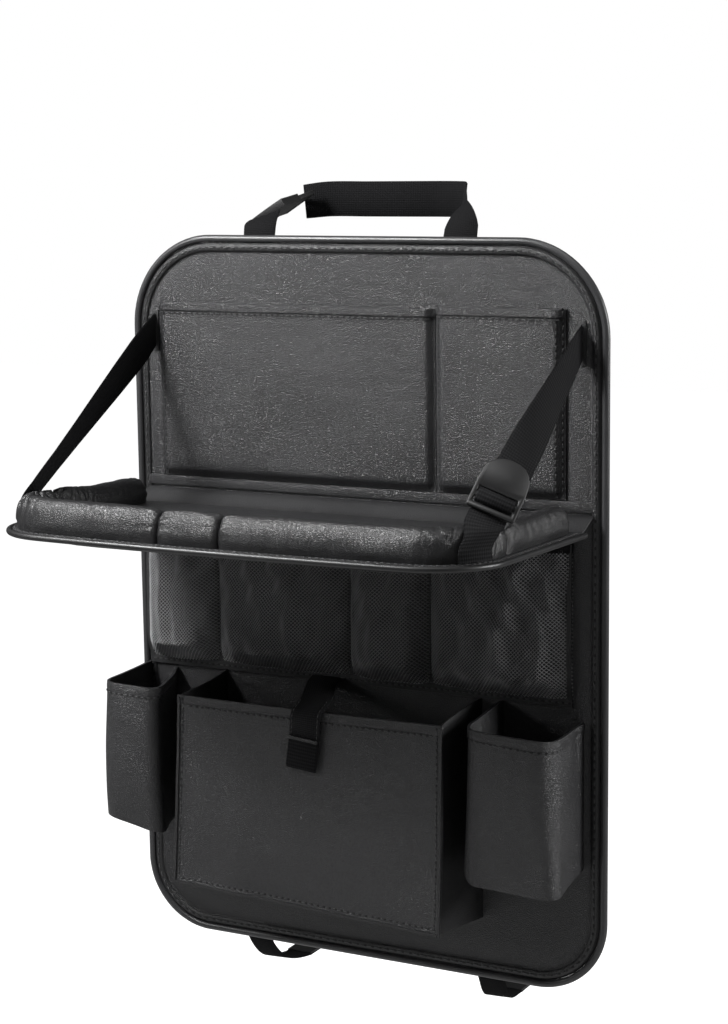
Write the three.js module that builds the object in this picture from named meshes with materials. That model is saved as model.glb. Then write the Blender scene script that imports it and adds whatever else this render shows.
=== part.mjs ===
import * as THREE from 'three';

// Back seat organizer in millimetres. X right, -Y towards the rear passenger, +Z up.
// The origin is the middle of the panel's back face, which lies against the seat.

const gap = 0.3; // between pieces that touch

// Back panel and its bound edge
const panelWidth = 440;
const panelHeight = 615;
const panelThickness = 4;
const topCorner = 78;
const bottomCorner = 62;
const bindingWidth = 7;
const bindingDepth = 6;
const marginWidth = 34; // thinner sewing margin inside the binding, at the back
const marginSink = 2.6;

// Flat pockets above the tray
const leather = 1.6;
const hemHeight = 7;
const hemRise = 0.8;
const hemStep = 0.6; // height over which the hem's thickness begins
const sewnEdge = 9; // width over which a flat pocket rises from its seam
const upperTop = 250;
const upperBottom = 101;
const upperLeft = -193;
const phoneLeft = 71;
const phoneRight = 184;
const upperRoom = 5.2;
const phoneRoom = 6;

// Mesh pocket under the tray
const meshLeft = -211;
const meshRight = 190;
const meshTop = 66;
const meshBottom = -66;
const meshSeams = [-139, -10, 64];
const meshThickness = 1.2;
const meshRoom = 26;
const meshTaper = 0.45; // share of the belly lost at the hem
const meshFoot = 0.2; // share of the height over which the belly opens
const meshPleat = 1.8;
const meshPleatLow = 0.4; // share of the pleats at the foot
const meshHem = 5;
const meshHemRise = 0.6;
const meshColumns = 60;
const meshRows = 9;

// Box pocket in the middle
const boxLeft = -135.5;
const boxRight = 112;
const boxTop = -73;
const boxBottom = -240;
const boxDepthTop = 76;
const boxDepthBottom = 83;
const boxBow = 4;
const boxDrop = 10;
const boxFlare = 5; // lower left corner further out than the upper one
const boxSag = 10; // lower right corner lower than the left one
const boxRimRise = 5.4;
const boxFold = 2.2; // inward fold of the sides
const seamInset = 2.1; // from the front's edges to the sides and the floor
const seamWidth = 3.5;
const seamRise = 1;

// Cup pocket on the left and tall pocket on the right
const cupLeft = -210.5;
const cupRight = -153;
const cupBackRight = -186;
const cupDepth = 79;
const cupTop = -66.6;
const cupBottom = -185;
const cupDrop = 14;
const cupPoint = 12; // lower front right corner below the left one
const cupTilt = 3; // rim lower towards the right
const tallLeft = 129;
const tallRight = 204;
const tallDepth = 76;
const tallTop = -67;
const tallBottom = -201;
const tallPoint = 4;
const tallTilt = 12;
const tallDip = 2;
const tallLean = 6;
const tallFlare = [5, 3]; // wider below, on its left and right
const pocketCorner = 11;
const floorLift = 2;

// Tab that closes the box pocket
const tabWidth = 28;
const tabEnd = -121;
const tabStart = -33;
const tabMiddle = -8.5;
const tabLean = 5; // lower end further left
const tabLift = 1; // off the box pocket
const tabPatch = 0.9; // thicker sewn end

// Fold-out tray
const trayWidth = 430;
const trayDepth = 206;
const trayBow = 9;
const trayCorner = 55;
const trayThickness = 4.4;
const trayTilt = 1.5; // degrees, front edge up
const hingeHeight = 81.5;
const hingeReach = 30.5; // from the panel's front to the hinge line
const flapThickness = 1.6;
const flapRise = 10;
const flapInset = 5; // from the binding
const stripThickness = 1.4;
const edgePiping = 5;
const rimSetback = 8;
const rimStart = 10; // clear of the flap when folded
const rollWidth = 25;
const rollHeight = 26;
const sideRimWidth = 22;
const sideRimHeight = 22;
const rollJoints = [-50, 4];
const padSides = 0.82; // below 1 makes the pads' section fuller
const padTop = 0.7;
const underRoom = 6.5;
const underWidth = 330;
const underDepth = 150;
const underBack = 20; // from the hinge line
const underEdge = 8;

// Webbing
const webbing = 1.8;
const sewnLength = 20; // of a strap's end on the panel's margin
const sewnStart = 13; // from the panel's edge to the sewn end
const trayWebWidth = 29;
const headWebWidth = 30;
const fixWebWidth = 25;
const anchorX = 197.5;
const anchorWidth = 6.4;
const anchorHeight = 226;
const anchorThickness = 1.4;
const anchorMargin = 3; // above and below the strap
// Degrees round the tray's corner of a strap's sewn end, of its crossing over the roll and of
// its turn there, then its distance back along the side
const leftStrapPath = { low: 90, over: 90, turn: 75, back: 6 };
const rightStrapPath = { low: 58, over: 76, turn: 45, back: 0 };
const strapOver = 12.5; // from the tray's edge to the crossing on the roll
const strapBelow = 5.4; // from the tray's edge to the sewn end, beside the roll
const strapRise = 0.8; // above the roll
const headStrapX = [-98, 88];
const postReach = 88; // from the panel to the run behind the headrest posts
const runHeight = 335;
const runEase = 55; // straight part of that run begins here, from each strap

// Buckles and hooks
const buckleWidth = 42;
const buckleLength = 50;
const buckleThickness = 9;
const socketLength = 28;
const plugInset = 2.4; // of its faces, behind the socket's
const adjusterRail = 3.2; // beside the webbing
const adjusterHeight = 44;
const adjusterThickness = 3;
const adjusterBar = 4;
const adjusterTab = 21; // thumb tab above the slots
const adjusterLift = 24; // degrees that the tab stands off the strap
const adjusterUp = 9; // from the roll, along the strap
const adjusterCorner = 2;
const adjusterBevel = 0.6;
const slotHeight = 4.6;
const hookWidth = 24;
const hookLength = 30;
const hookLip = 13;
const hookThickness = 2.6;
const fixStrapX = 112;
const fixDrop = 26;
const fixReach = 58; // behind the panel
const fixDrift = 8; // towards the middle

const panelFront = -panelThickness;
const seatGap = panelFront - gap;
const outlineX = panelWidth / 2 - bindingWidth;
const hingeY = panelFront - hingeReach;
const rad = THREE.MathUtils.degToRad;
const group = new THREE.Group();

const finishes = {
  leather: { color: 0x2b2b2d, roughness: 0.55 },
  binding: { color: 0x3a3a3c, roughness: 0.5 },
  webbing: { color: 0x18181a, roughness: 0.85 },
  mesh: { color: 0x1c1c1e, roughness: 0.9 },
  plastic: { color: 0x222224, roughness: 0.4 },
};

function add(name, geometry, finish) {
  const mesh = new THREE.Mesh(geometry, new THREE.MeshStandardMaterial(finishes[finish]));
  mesh.name = name;
  group.add(mesh);
}

function ringWalls(rings) {
  const count = rings[0].length;
  const index = [];
  for (let i = 0; i < rings.length - 1; i += 1) {
    for (let j = 0; j < count; j += 1) {
      const a = i * count + j;
      const b = i * count + ((j + 1) % count);
      index.push(a, b, a + count, b, b + count, a + count);
    }
  }
  return index;
}

// A closed solid from rows of points: each row is one ring, with ends fanned from their middle
function loft(rings) {
  const count = rings[0].length;
  const points = rings.flat();
  const index = ringWalls(rings);
  const ends = [rings[0], rings[rings.length - 1]];
  ends.forEach((ring, side) => {
    const middle = ring.reduce((sum, p) => sum.clone().add(p), new THREE.Vector3()).divideScalar(count);
    const start = side * (rings.length - 1) * count;
    points.push(middle);
    for (let j = 0; j < count; j += 1) {
      const a = start + j;
      const b = start + ((j + 1) % count);
      if (side === 0) index.push(points.length - 1, b, a);
      else index.push(points.length - 1, a, b);
    }
  });
  return solid(points, index);
}

function solid(points, index) {
  const geometry = new THREE.BufferGeometry().setFromPoints(points);
  geometry.setIndex(index);
  if (volume(points, index) < 0) {
    for (let i = 0; i < index.length; i += 3) [index[i], index[i + 1]] = [index[i + 1], index[i]];
    geometry.setIndex(index);
  }
  geometry.computeVertexNormals();
  return geometry;
}

function volume(points, index) {
  let sum = 0;
  for (let i = 0; i < index.length; i += 3) {
    const [a, b, c] = [points[index[i]], points[index[i + 1]], points[index[i + 2]]];
    sum += a.dot(new THREE.Vector3().crossVectors(b, c));
  }
  return sum / 6;
}

const noHoles = () => false;

// A sheet of cloth or leather: place(u, v) is its inner face, or its middle with inside = 0.5
function sheet(place, thick, us, vs, open = noHoles, inside = 0) {
  const points = [];
  const step = 0.002;
  for (const side of [0, 1]) {
    for (const u of us) {
      for (const v of vs) {
        const p = place(u, v);
        const low = [Math.max(u - step, 0), Math.max(v - step, 0)];
        const high = [Math.min(u + step, 1), Math.min(v + step, 1)];
        const alongU = place(high[0], v).sub(place(low[0], v));
        const alongV = place(u, high[1]).sub(place(u, low[1]));
        const normal = alongU.cross(alongV).normalize();
        points.push(p.addScaledVector(normal, (side - inside) * thick(u, v)));
      }
    }
  }
  const rows = us.length - 1;
  const columns = vs.length - 1;
  const layer = us.length * vs.length;
  const at = (i, j) => i * vs.length + j;
  const kept = (i, j) => i >= 0 && j >= 0 && i < rows && j < columns && !open(i, j);
  const index = [];
  const wall = (a, b) => index.push(a, b, b + layer, a, b + layer, a + layer);
  for (let i = 0; i < rows; i += 1) {
    for (let j = 0; j < columns; j += 1) {
      if (!kept(i, j)) continue;
      const [a, b, c, d] = [at(i, j), at(i + 1, j), at(i + 1, j + 1), at(i, j + 1)];
      index.push(a, c, b, a, d, c);
      index.push(a + layer, b + layer, c + layer, a + layer, c + layer, d + layer);
      if (!kept(i, j - 1)) wall(a, b);
      if (!kept(i + 1, j)) wall(b, c);
      if (!kept(i, j + 1)) wall(c, d);
      if (!kept(i - 1, j)) wall(d, a);
    }
  }
  const used = [...new Set(index)];
  const place2 = new Map(used.map((old, i) => [old, i]));
  return solid(used.map((i) => points[i]), index.map((i) => place2.get(i)));
}

function even(count, extra = []) {
  const steps = Array.from({ length: count + 1 }, (_, i) => i / count);
  const far = steps.filter((s) => s === 0 || s === 1 || extra.every((e) => Math.abs(e - s) > 0.3 / count));
  return [...far, ...extra].sort((a, b) => a - b);
}

function smooth(t) {
  const s = Math.min(Math.max(t, 0), 1);
  return s * s * (3 - 2 * s);
}

function mix(a, b, t) {
  return a + (b - a) * t;
}

// Rectangle with four corner radii, centred on x and running from low to high
function roundedShape(halfWidth, low, high, topRadius, bottomRadius, Kind = THREE.Shape) {
  const shape = new Kind();
  shape.moveTo(-halfWidth + bottomRadius, low);
  shape.lineTo(halfWidth - bottomRadius, low);
  shape.absarc(halfWidth - bottomRadius, low + bottomRadius, bottomRadius, -Math.PI / 2, 0);
  shape.absarc(halfWidth - topRadius, high - topRadius, topRadius, 0, Math.PI / 2);
  shape.absarc(-halfWidth + topRadius, high - topRadius, topRadius, Math.PI / 2, Math.PI);
  shape.absarc(-halfWidth + bottomRadius, low + bottomRadius, bottomRadius, Math.PI, Math.PI * 1.5);
  return shape;
}

// Extrudes a shape drawn in X and Z towards -Y, from y = back
function standing(shape, depth, back, bevel = 0, arcSteps = 10) {
  const geometry = new THREE.ExtrudeGeometry(shape, {
    depth: depth - 2 * bevel,
    bevelEnabled: bevel > 0,
    bevelThickness: bevel,
    bevelSize: bevel,
    bevelOffset: -bevel,
    bevelSegments: 1,
    curveSegments: arcSteps,
  });
  geometry.translate(0, 0, bevel);
  geometry.rotateX(Math.PI / 2);
  geometry.translate(0, back, 0);
  return geometry;
}

// A closed solid from matching rings that face along Y, with flat ends
function stack(rings) {
  const index = ringWalls(rings);
  const last = rings.length - 1;
  const flat = (ring) => ring.map((p) => new THREE.Vector2(p.x, p.z));
  for (const [a, b, c] of THREE.ShapeUtils.triangulateShape(flat(rings[0]), [])) index.push(a, c, b);
  for (const face of THREE.ShapeUtils.triangulateShape(flat(rings[last]), [])) {
    index.push(...face.map((i) => last * rings[last].length + i));
  }
  return solid(rings.flat(), index);
}

// The panel's board ends at a sewing margin, so strap ends lie flush with its back
function backPanel() {
  const half = panelHeight / 2 - bindingWidth;
  const top = topCorner - bindingWidth;
  const bottom = bottomCorner - bindingWidth;
  const ringAt = (inset, y) => {
    const high = half - inset;
    const shape = roundedShape(outlineX - inset, -high, high, top - inset, bottom - inset);
    return shape.getPoints(10).slice(1).map((p) => new THREE.Vector3(p.x, y, p.y));
  };
  const margin = -marginSink;
  const rings = [ringAt(gap, panelFront), ringAt(gap, margin), ringAt(marginWidth, margin), ringAt(marginWidth, 0)];
  add('back_panel', stack(rings), 'leather');
  const ring = roundedShape(panelWidth / 2, -panelHeight / 2, panelHeight / 2, topCorner, bottomCorner);
  ring.holes.push(roundedShape(outlineX, -half, half, top, bottom, THREE.Path));
  add('edge_binding', standing(ring, bindingDepth, 0, 1.6), 'binding');
}

// A pocket sewn flat on three sides: it stands off the panel by its room
function flatPocket(name, left, right, low, high, room) {
  const edge = sewnEdge;
  const width = right - left;
  const height = high - low;
  const stand = (u, v) => {
    const side = smooth((u * width) / edge) * smooth(((1 - u) * width) / edge);
    return room * side * smooth((v * height) / edge);
  };
  const place = (u, v) =>
    new THREE.Vector3(mix(left, right, u), seatGap - stand(u, v), mix(low, high, v));
  const hem = 1 - hemHeight / height;
  const thick = (u, v) => leather + (v > hem ? hemRise : 0);
  const nearU = [0.25, 0.5, 0.75, 1].map((s) => (s * edge) / width);
  const nearV = [0.25, 0.5, 0.75, 1].map((s) => (s * edge) / height);
  const us = even(6, [...nearU, ...nearU.map((s) => 1 - s)]);
  const vs = even(5, [...nearV, hem, hem + hemStep / height]);
  add(name, sheet(place, thick, us, vs), 'leather');
}

function meshPocket() {
  const width = meshRight - meshLeft;
  const height = meshTop - meshBottom;
  const borders = [meshLeft, ...meshSeams, meshRight];
  const place = (u, v) => {
    const x = mix(meshLeft, meshRight, u);
    const n = Math.max(borders.findIndex((b) => b >= x - 1e-6), 1);
    const s = (x - borders[n - 1]) / (borders[n] - borders[n - 1]);
    const across = Math.sin(Math.PI * Math.min(Math.max(s, 0), 1));
    const belly = 1 - meshTaper * v;
    const closed = smooth(v / meshFoot);
    const depth = across * mix(meshPleatLow, 1, v);
    const pleat = meshPleat * Math.sin(((u * meshColumns) / 3) * Math.PI * 2) * depth;
    const stand = meshRoom * Math.pow(across, 0.6) * belly * closed + pleat * closed;
    return new THREE.Vector3(x, seatGap - Math.max(stand, 0), mix(meshBottom, meshTop, v));
  };
  const seams = meshSeams.map((x) => (x - meshLeft) / width);
  const us = even(meshColumns);
  const vs = even(meshRows);
  const nearSeam = (i) => seams.some((s) => Math.abs((i + 0.5) / meshColumns - s) < 1.2 / meshColumns);
  const hole = (i, j) => i % 3 === 1 && j % 2 === 1 && j > 0 && j < meshRows - 1 && !nearSeam(i);
  const hemmed = (v) => Math.min(v, 1 - v) * height < meshHem;
  const thick = (u, v) => meshThickness + (hemmed(v) ? meshHemRise : 0);
  add('mesh_pocket', sheet(place, thick, us, vs, hole), 'mesh');
}

function boxDepth(z) {
  const down = (boxTop - z) / (boxTop - boxBottom);
  return panelFront - mix(boxDepthTop, boxDepthBottom, down);
}

function boxX(u, v) {
  return mix(boxLeft - boxFlare * (1 - v), boxRight, u);
}

function boxLow(u) {
  return boxBottom + boxSag * (0.5 - u);
}

// The box pocket's front has raised seams along its sides and bottom
function boxFront() {
  const width = boxRight - boxLeft;
  const height = boxTop - boxBottom;
  const place = (u, v) => {
    const bow = boxBow * Math.sin(Math.PI * u) * Math.sin(Math.PI * Math.min(0.12 + v * 0.7, 1));
    const z = mix(boxLow(u), boxTop, v);
    const flat = smooth(u * 8) * smooth((1 - u) * 8) * smooth(v * 6);
    return new THREE.Vector3(boxX(u, v), boxDepth(z) - bow * flat, z);
  };
  const seamU = seamWidth / width;
  const seamV = seamWidth / height;
  const hemV = 1 - hemHeight / height;
  const thick = (u, v) => {
    const border = u < seamU || u > 1 - seamU || v < seamV;
    return leather + (border ? seamRise : 0) + (v > hemV ? hemRise : 0);
  };
  const us = even(12, [seamU * 0.9, seamU * 1.3, 1 - seamU * 0.9, 1 - seamU * 1.3]);
  const vs = even(8, [seamV * 0.9, seamV * 1.3, hemV, hemV + hemStep / height]);
  add('box_pocket_front', sheet(place, thick, us, vs), 'leather');
}

function boxSide(name, side) {
  const inset = seamInset;
  const direction = 2 * side - 1;
  const place = (u, v) => {
    const x = boxX(side, v) - direction * inset;
    const zFront = mix(boxLow(side) + inset, boxTop, v);
    const zBack = mix(boxLow(side) - boxDrop, boxTop + boxRimRise, v);
    const y = mix(seatGap, boxDepth(zFront) + gap, u);
    const fold = boxFold * Math.sin(Math.PI * u) * smooth(v * 2);
    return new THREE.Vector3(x - direction * fold, y, mix(zBack, zFront, u));
  };
  add(name, sheet(place, () => leather, even(8), even(8)), 'leather');
}

function boxFloor() {
  const inset = seamInset;
  const clear = leather + 2 * gap;
  const place = (u, v) => {
    const z = mix(boxLow(u) - boxDrop, boxLow(u) + inset, v) + leather;
    const y = mix(seatGap, boxDepth(z) + gap, v);
    return new THREE.Vector3(mix(boxX(0, 0) + inset + clear, boxX(1, 0) - inset - clear, u), y, z);
  };
  add('box_pocket_floor', sheet(place, () => leather, even(6), even(4)), 'leather');
}

// Plan line of a pocket that wraps from the panel round to the panel again
function wrapLine(backLeft, left, right, backRight, depth, corner) {
  const front = panelFront - depth;
  const path = new THREE.CurvePath();
  const foot = 2; // short square end where the wall is sewn to the panel
  const start = new THREE.Vector2(backLeft, seatGap - foot);
  const end = new THREE.Vector2(backRight, seatGap - foot);
  const cornerA = new THREE.Vector2(left, front);
  const cornerB = new THREE.Vector2(right, front);
  const towards = (from, to) => from.clone().addScaledVector(to.clone().sub(from).normalize(), corner);
  const bends = [towards(cornerA, start), towards(cornerA, cornerB)];
  const bends2 = [towards(cornerB, cornerA), towards(cornerB, end)];
  path.add(new THREE.LineCurve(new THREE.Vector2(backLeft, seatGap), start));
  path.add(new THREE.LineCurve(start, bends[0]));
  path.add(new THREE.QuadraticBezierCurve(bends[0], cornerA, bends[1]));
  path.add(new THREE.LineCurve(bends[1], bends2[0]));
  path.add(new THREE.QuadraticBezierCurve(bends2[0], cornerB, bends2[1]));
  path.add(new THREE.LineCurve(bends2[1], end));
  path.add(new THREE.LineCurve(end, new THREE.Vector2(backRight, seatGap)));
  return path;
}

// Wrapped pocket: tilt lowers its rim to the right, point its front right lower corner
function wrapPocket(name, line, { depth, low, top, drop = 0, dip, tilt, point, flare = [0, 0] }) {
  const us = even(26);
  const xs = us.map((u) => line.getPointAt(u).x);
  const [left, right] = [Math.min(...xs), Math.max(...xs)];
  const back = (y) => Math.min(Math.max((y - panelFront + depth) / depth, 0), 1);
  const across = (x) => Math.min(Math.max((x - left) / (right - left), 0), 1);
  const lowAt = (p) => low - drop * back(p.y) - point * across(p.x) * (1 - back(p.y));
  const flareAt = (p) => (mix(-flare[0], flare[1], across(p.x))) * (1 - back(p.y));
  const place = (u, v) => {
    const p = line.getPointAt(u);
    const rim = top - tilt * u - dip * Math.sin(Math.PI * u);
    return new THREE.Vector3(p.x + flareAt(p) * (1 - v), p.y, mix(lowAt(p), rim, v));
  };
  const hem = 1 - hemHeight / (top - low);
  const thick = (u, v) => leather + (v > hem ? hemRise : 0);
  add(`${name}_wall`, sheet(place, thick, us, even(4, [hem, hem + hemStep / (top - low)])), 'leather');
  const inset = 2.5 * gap;
  const points = us.map((u) => {
    const along = line.getTangentAt(u);
    const p = line.getPointAt(u);
    const x = p.x + flareAt(p) * 0.97 - along.y * inset;
    return new THREE.Vector2(x, Math.min(p.y + along.x * inset, seatGap));
  });
  const shape = new THREE.Shape(points);
  const geometry = new THREE.ExtrudeGeometry(shape, { depth: leather, bevelEnabled: false });
  const position = geometry.attributes.position;
  for (let i = 0; i < position.count; i += 1) {
    const base = lowAt(new THREE.Vector2(position.getX(i), position.getY(i))) + floorLift;
    position.setZ(i, position.getZ(i) + base);
  }
  geometry.computeVertexNormals();
  add(`${name}_floor`, geometry, 'leather');
}

function cupPocket() {
  const line = wrapLine(cupLeft, cupLeft + 2.5, cupRight, cupBackRight, cupDepth, pocketCorner);
  const size = { depth: cupDepth, low: cupBottom, top: cupTop, drop: cupDrop };
  wrapPocket('cup_pocket', line, { ...size, dip: 1, tilt: cupTilt, point: cupPoint });
}

function tallPocket() {
  const line = wrapLine(tallLeft, tallLeft, tallRight, tallRight - tallLean, tallDepth, pocketCorner);
  const size = { depth: tallDepth, low: tallBottom, top: tallTop, dip: tallDip };
  wrapPocket('tall_pocket', line, { ...size, tilt: tallTilt, point: tallPoint, flare: tallFlare });
}

// A strap: points along its middle and the direction of its width at each
function strap(name, stops, width, steps, thick = () => webbing) {
  const line = new THREE.CatmullRomCurve3(stops.map((s) => s.at), false, 'centripetal');
  const place = (u, v) => {
    const k = Math.min(u * (stops.length - 1), stops.length - 1.0001);
    const i = Math.floor(k);
    const p = line.getPoint(u);
    const across = stops[i].across.clone().lerp(stops[i + 1].across, k - i).normalize();
    return p.addScaledVector(across, width * (v - 0.5));
  };
  add(name, sheet(place, thick, even(steps), even(2), noHoles, 0.5), 'webbing');
}

function stop(x, y, z, ax, ay, az) {
  return { at: new THREE.Vector3(x, y, z), across: new THREE.Vector3(ax, ay, az).normalize() };
}

function closureTab() {
  const half = webbing / 2;
  const down = (z) => boxDepth(z) - leather - half - boxBow - tabLift;
  const rim = down(boxTop);
  const stops = [
    stop(tabStart, seatGap - meshThickness - half - 2.8, meshBottom + 3, 1, 0, 0),
    stop(tabStart + 4, seatGap - 20, boxTop + 8, 1, 0, 0),
    stop(tabMiddle, rim + 14, boxTop + 6, 1, 0.05, 0),
    stop(tabMiddle - 0.5, rim, boxTop - 1, 1, 0, 0),
    stop(tabMiddle - tabLean * 0.4, down(boxTop - 20), boxTop - 20, 1, 0, -0.1),
    stop(tabMiddle - tabLean, down(tabEnd), tabEnd, 1, 0, -0.1),
  ];
  const patch = (u) => webbing + (u > 0.86 ? tabPatch : 0);
  strap('closure_tab', stops, tabWidth, 32, patch);
}

// Tray pieces are drawn flat: X right, Y outwards from the hinge line, Z up, then hung
function hang(geometry) {
  geometry.rotateZ(Math.PI);
  geometry.scale(-1, 1, 1);
  return tiltIntoPlace(flip(geometry));
}

function flip(geometry) {
  const flat = geometry.index ? geometry.toNonIndexed() : geometry;
  const position = flat.attributes.position;
  for (let i = 0; i < position.count; i += 3) {
    const keep = [position.getX(i), position.getY(i), position.getZ(i)];
    position.setXYZ(i, position.getX(i + 1), position.getY(i + 1), position.getZ(i + 1));
    position.setXYZ(i + 1, ...keep);
  }
  flat.deleteAttribute('normal');
  flat.deleteAttribute('uv');
  flat.computeVertexNormals();
  return flat;
}

function tiltIntoPlace(geometry) {
  geometry.rotateX(-rad(trayTilt));
  geometry.translate(0, hingeY, hingeHeight);
  return geometry;
}

function trayPoint(x, out, up) {
  const p = new THREE.Vector3(x, -out, up);
  p.applyAxisAngle(new THREE.Vector3(1, 0, 0), -rad(trayTilt));
  return p.add(new THREE.Vector3(0, hingeY, hingeHeight));
}

// The tray's outline from the back left corner round the front to the back right
function trayEdge(inset, start = 0) {
  const half = trayWidth / 2 - inset;
  const radius = Math.max(trayCorner - inset, 4);
  const front = trayDepth - inset;
  const points = [new THREE.Vector2(-half, start)];
  const corner = (cx, from) => {
    for (let i = 0; i <= 8; i += 1) {
      const a = from - (i / 8) * (Math.PI / 2);
      points.push(new THREE.Vector2(cx + radius * Math.cos(a), front - radius + radius * Math.sin(a)));
    }
  };
  corner(-half + radius, Math.PI);
  for (let i = 1; i < 12; i += 1) points.push(new THREE.Vector2(mix(-half + radius, half - radius, i / 12), front));
  corner(half - radius, Math.PI / 2);
  points.push(new THREE.Vector2(half, start));
  points.forEach((p) => {
    const share = Math.min(Math.abs(p.x) / half, 1);
    p.y += trayBow * (1 - share * share) * smooth(p.y / front);
  });
  return points;
}

function trayBoard() {
  const shape = new THREE.Shape(trayEdge(edgePiping + gap));
  const geometry = new THREE.ExtrudeGeometry(shape, { depth: trayThickness, bevelEnabled: false });
  geometry.translate(0, 0, -trayThickness);
  add('tray_board', hang(geometry), 'leather');
}

// Sweeps a section of [outwards, up] points along a line of plan points
function sweepPlan(line, sectionAt) {
  return loft(
    line.map((p, i) => {
      const before = line[Math.max(i - 1, 0)];
      const after = line[Math.min(i + 1, line.length - 1)];
      const along = after.clone().sub(before).normalize();
      const out = new THREE.Vector2(-along.y, along.x);
      const section = sectionAt(i / (line.length - 1), i);
      return section.map(([side, up]) => new THREE.Vector3(p.x + out.x * side, p.y + out.y * side, up));
    }),
  );
}

function trayPiping() {
  const radius = edgePiping / 2;
  const section = Array.from({ length: 10 }, (_, i) => {
    const a = (i / 10) * Math.PI * 2;
    return [Math.cos(a) * radius, Math.sin(a) * (trayThickness / 2 + 0.4) - trayThickness / 2];
  });
  add('tray_piping', hang(sweepPlan(trayEdge(radius), () => section)), 'binding');
}

// Padded section: flat underneath, round on top, leaning a little outwards
function padSection(width, height) {
  const points = [];
  const steps = 10;
  for (let i = 0; i <= steps; i += 1) {
    const a = (i / steps) * Math.PI;
    const x = Math.sign(Math.cos(a)) * Math.pow(Math.abs(Math.cos(a)), padSides);
    points.push([(x * width) / 2, gap + height * Math.pow(Math.max(Math.sin(a), 0), padTop)]);
  }
  return points;
}

function cutLine(line, from, to) {
  const path = new THREE.CurvePath();
  for (let i = 0; i < line.length - 1; i += 1) path.add(new THREE.LineCurve(line[i], line[i + 1]));
  const count = Math.max(Math.round((to - from) * 60), 4);
  return Array.from({ length: count + 1 }, (_, i) => path.getPointAt(mix(from, to, i / count)));
}

function shareAt(line, test) {
  let total = 0;
  const lengths = line.slice(1).map((p, i) => p.distanceTo(line[i]));
  const all = lengths.reduce((a, b) => a + b, 0);
  for (let i = 0; i < lengths.length; i += 1) {
    const t = test(line[i], line[i + 1]);
    if (t >= 0 && t <= 1) return (total + lengths[i] * t) / all;
    total += lengths[i];
  }
  return 1;
}

function trayRims() {
  const middle = rimSetback + rollWidth / 2;
  const line = trayEdge(middle, rimStart);
  const crossing = (x) => shareAt(line, (a, b) => (a.y > trayDepth / 2 ? (x - a.x) / (b.x - a.x) : -1));
  const sideEnd = shareAt(line, (a, b) => (trayDepth - trayCorner - middle - a.y) / (b.y - a.y));
  const cuts = [0, sideEnd, crossing(rollJoints[0]), crossing(rollJoints[1]), 1 - sideEnd, 1];
  const names = ['tray_rim_left', 'tray_roll_left', 'tray_roll_middle', 'tray_roll_right', 'tray_rim_right'];
  const all = cutLine(line, 0, 1).length;
  names.forEach((name, i) => {
    const side = i === 0 || i === 4;
    const part = cutLine(line, cuts[i] + gap / all / 4, cuts[i + 1] - gap / all / 4);
    const sizeAt = (t) => {
      const ends = side ? 1 : 0.9 + 0.1 * Math.pow(Math.sin(Math.PI * Math.min(Math.max(t, 0), 1)), 0.35);
      const lean = i === 0 ? t : 1 - t;
      const blend = side ? smooth(lean * 2.2 - 1.2) : 1;
      const width = mix(sideRimWidth, rollWidth, blend) * ends;
      const height = mix(sideRimHeight, rollHeight, blend) * ends;
      return padSection(width, height);
    };
    add(name, hang(sweepPlan(part, sizeAt)), 'leather');
  });
}

// Pocket sheet under the tray, sewn at its back and sides and open to the front
function underPocket() {
  const edge = underEdge;
  const place = (u, v) => {
    const side = smooth((u * underWidth) / edge) * smooth(((1 - u) * underWidth) / edge);
    const stand = underRoom * side * smooth((v * underDepth) / edge);
    const x = mix(-underWidth / 2, underWidth / 2, u);
    return trayPoint(x, mix(underBack, underBack + underDepth, v), -trayThickness - gap - stand);
  };
  const nearU = [0.33, 0.66, 1].map((s) => (s * edge) / underWidth);
  const nearV = [0.33, 0.66, 1].map((s) => (s * edge) / underDepth);
  const us = even(5, [...nearU, ...nearU.map((s) => 1 - s)]);
  add('tray_under_pocket', sheet(place, () => leather, us, even(4, nearV)), 'leather');
}

// Leather flap that carries the tray: from the panel to the hinge line
function hingeFlap() {
  const half = outlineX - flapInset;
  const place = (u, v) => {
    const y = mix(seatGap, hingeY + gap, v);
    const up = flapRise * (1 - smooth(v));
    return new THREE.Vector3(mix(-half, half, u), y, hingeHeight - flapThickness + up);
  };
  add('tray_hinge_flap', sheet(place, () => flapThickness, even(8), even(6)), 'leather');
}

// Strip that covers the seam between the flap and the pockets above it
function seamStrip() {
  const half = outlineX - flapInset;
  const strip = roundedShape(half, hingeHeight + flapRise + 2 * gap, upperBottom - 2 * gap, 1.5, 1.5);
  add('hinge_seam_strip', standing(strip, stripThickness, seatGap, 0, 2), 'leather');
}

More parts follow.
